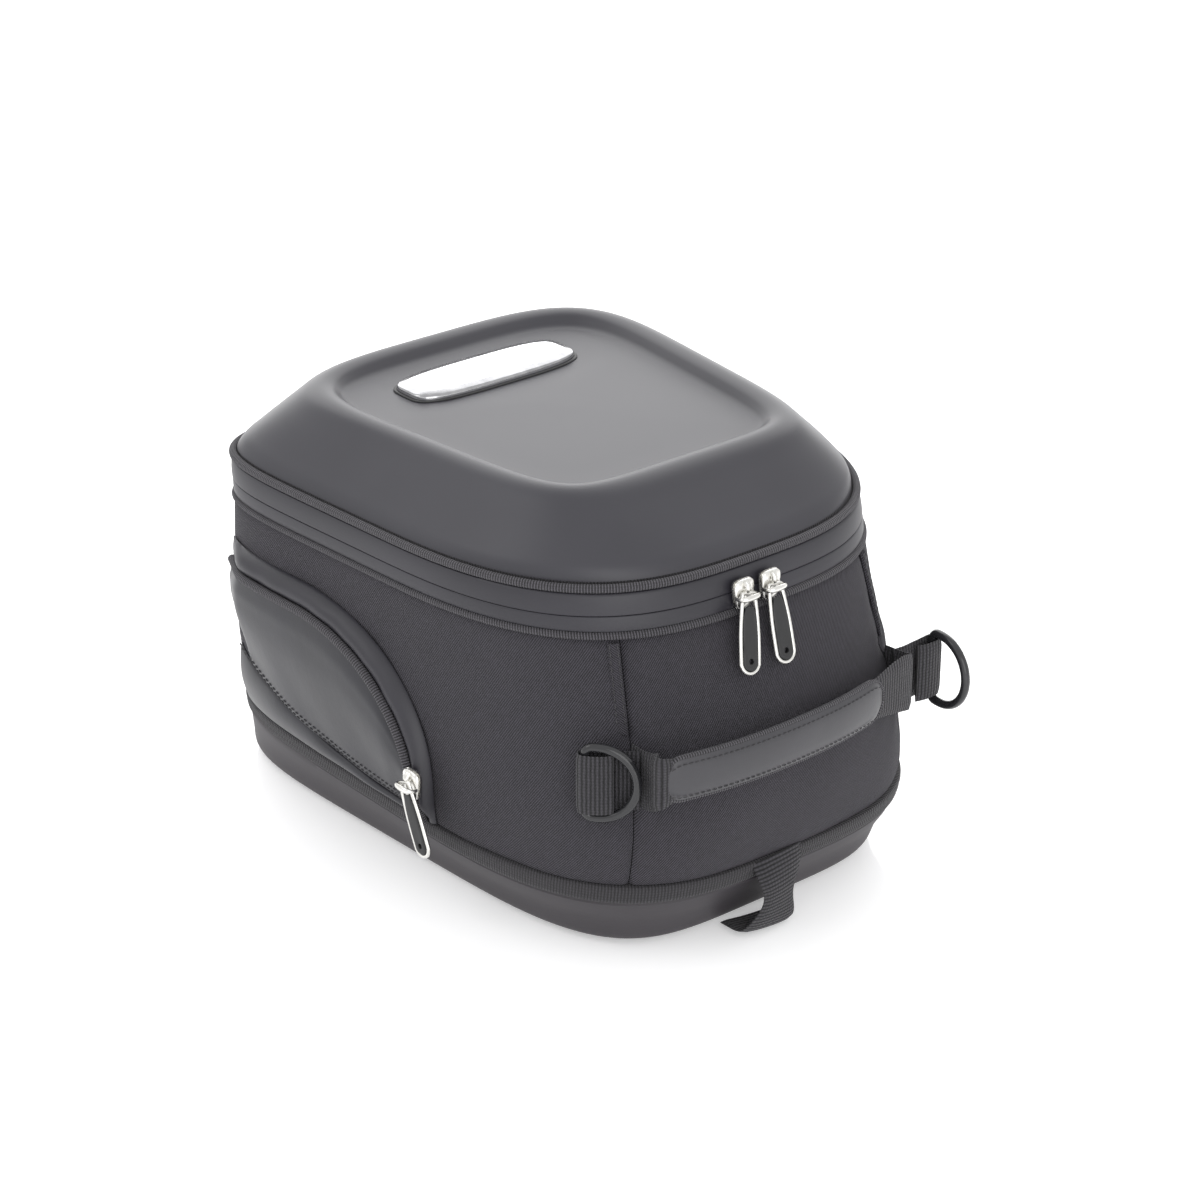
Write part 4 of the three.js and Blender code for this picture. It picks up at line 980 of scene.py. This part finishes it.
def build_sliders():
    for side, suffix in ((-1, "left"), (1, "right")):
        front = (FRONT_SLIDERS_MIDDLE + side * FRONT_SLIDERS_APART, SLIDER_BAR_Y, ZIP_LINE)
        build_slider(f"zip_{suffix}", front, 0)
        build_pull(f"zip_{suffix}", front, 0, PULL_LEAN)
        pocket = (side * POCKET_SLIDER[0], *POCKET_SLIDER[1:])
        build_slider(f"pocket_{suffix}", pocket, side * math.pi / 2)
        build_pull(f"pocket_{suffix}", pocket, side * math.pi / 2, 0)


# ---- Studio ----


def build_studio():
    bpy.ops.mesh.primitive_plane_add(size=12)
    floor = bpy.context.object
    floor.name = "floor"
    floor.location = (0, 0, -0.0005)
    n = Nodes("studio_floor")
    n.rough(n.noise(3, 2), 0.07, 0.1)
    color = n.ramp(n.noise(2, 2), (0.86, 0.86, 0.865), (0.88, 0.88, 0.885))
    material = n.finish(color, Emission_Color=(1, 1, 1, 1), Emission_Strength=0.32)
    floor.data.materials.append(material)
    world = bpy.context.scene.world or bpy.data.worlds.new("studio")
    bpy.context.scene.world = world
    world.use_nodes = True
    world.node_tree.nodes["Background"].inputs["Color"].default_value = (1, 1, 1, 1)
    world.node_tree.nodes["Background"].inputs["Strength"].default_value = 1.05


def add_light(name, place, size, power):
    data = bpy.data.lights.new(name, "AREA")
    data.size = size
    data.energy = power
    light = bpy.data.objects.new(name, data)
    light.location = place
    light.rotation_euler = (Vector((0, 0, 0.1)) - Vector(place)).to_track_quat("-Z", "Y").to_euler()
    bpy.context.scene.collection.objects.link(light)


def build_lights():
    add_light("top_rear", (1.05, 1.45, 1.0), 2.8, 46)
    add_light("top_left", (-1.3, 0.5, 1.4), 0.9, 4)
    add_light("front", (-0.7, -1.9, 0.8), 1.4, 11)


AZIMUTH, ELEVATION, DISTANCE = -39.21, 25.75, 1.6
AIM = Vector((0, 0.018, 0.09))
OFFSET_RIGHT, OFFSET_UP = 0.0286, 0.00452
FOCAL = 96.47


def build_camera():
    data = bpy.data.cameras.new("camera")
    data.lens = FOCAL
    data.sensor_width = 36
    camera = bpy.data.objects.new("camera", data)
    azimuth, elevation = math.radians(AZIMUTH), math.radians(ELEVATION)
    back = Vector((math.sin(azimuth) * math.cos(elevation), -math.cos(azimuth) * math.cos(elevation), math.sin(elevation)))
    right = Vector((math.cos(azimuth), math.sin(azimuth), 0))
    camera.location = AIM + right * OFFSET_RIGHT + back.cross(right) * OFFSET_UP + back * DISTANCE
    camera.rotation_euler = (-back).to_track_quat("-Z", "Y").to_euler()
    bpy.context.scene.collection.objects.link(camera)
    bpy.context.scene.camera = camera


build_camera()
build_studio()
build_lights()
build_base()
build_bindings()
build_panels()
build_seam_bindings()
build_corner_seams()
build_zip()
build_dome()
build_lid_piping()
build_badge()
for side, suffix in ((-1, "left"), (1, "right")):
    build_pocket(side, suffix)
    build_ring(suffix)
build_handle()
build_strap()
build_sliders()

bpy.context.scene.view_settings.view_transform = "Standard"
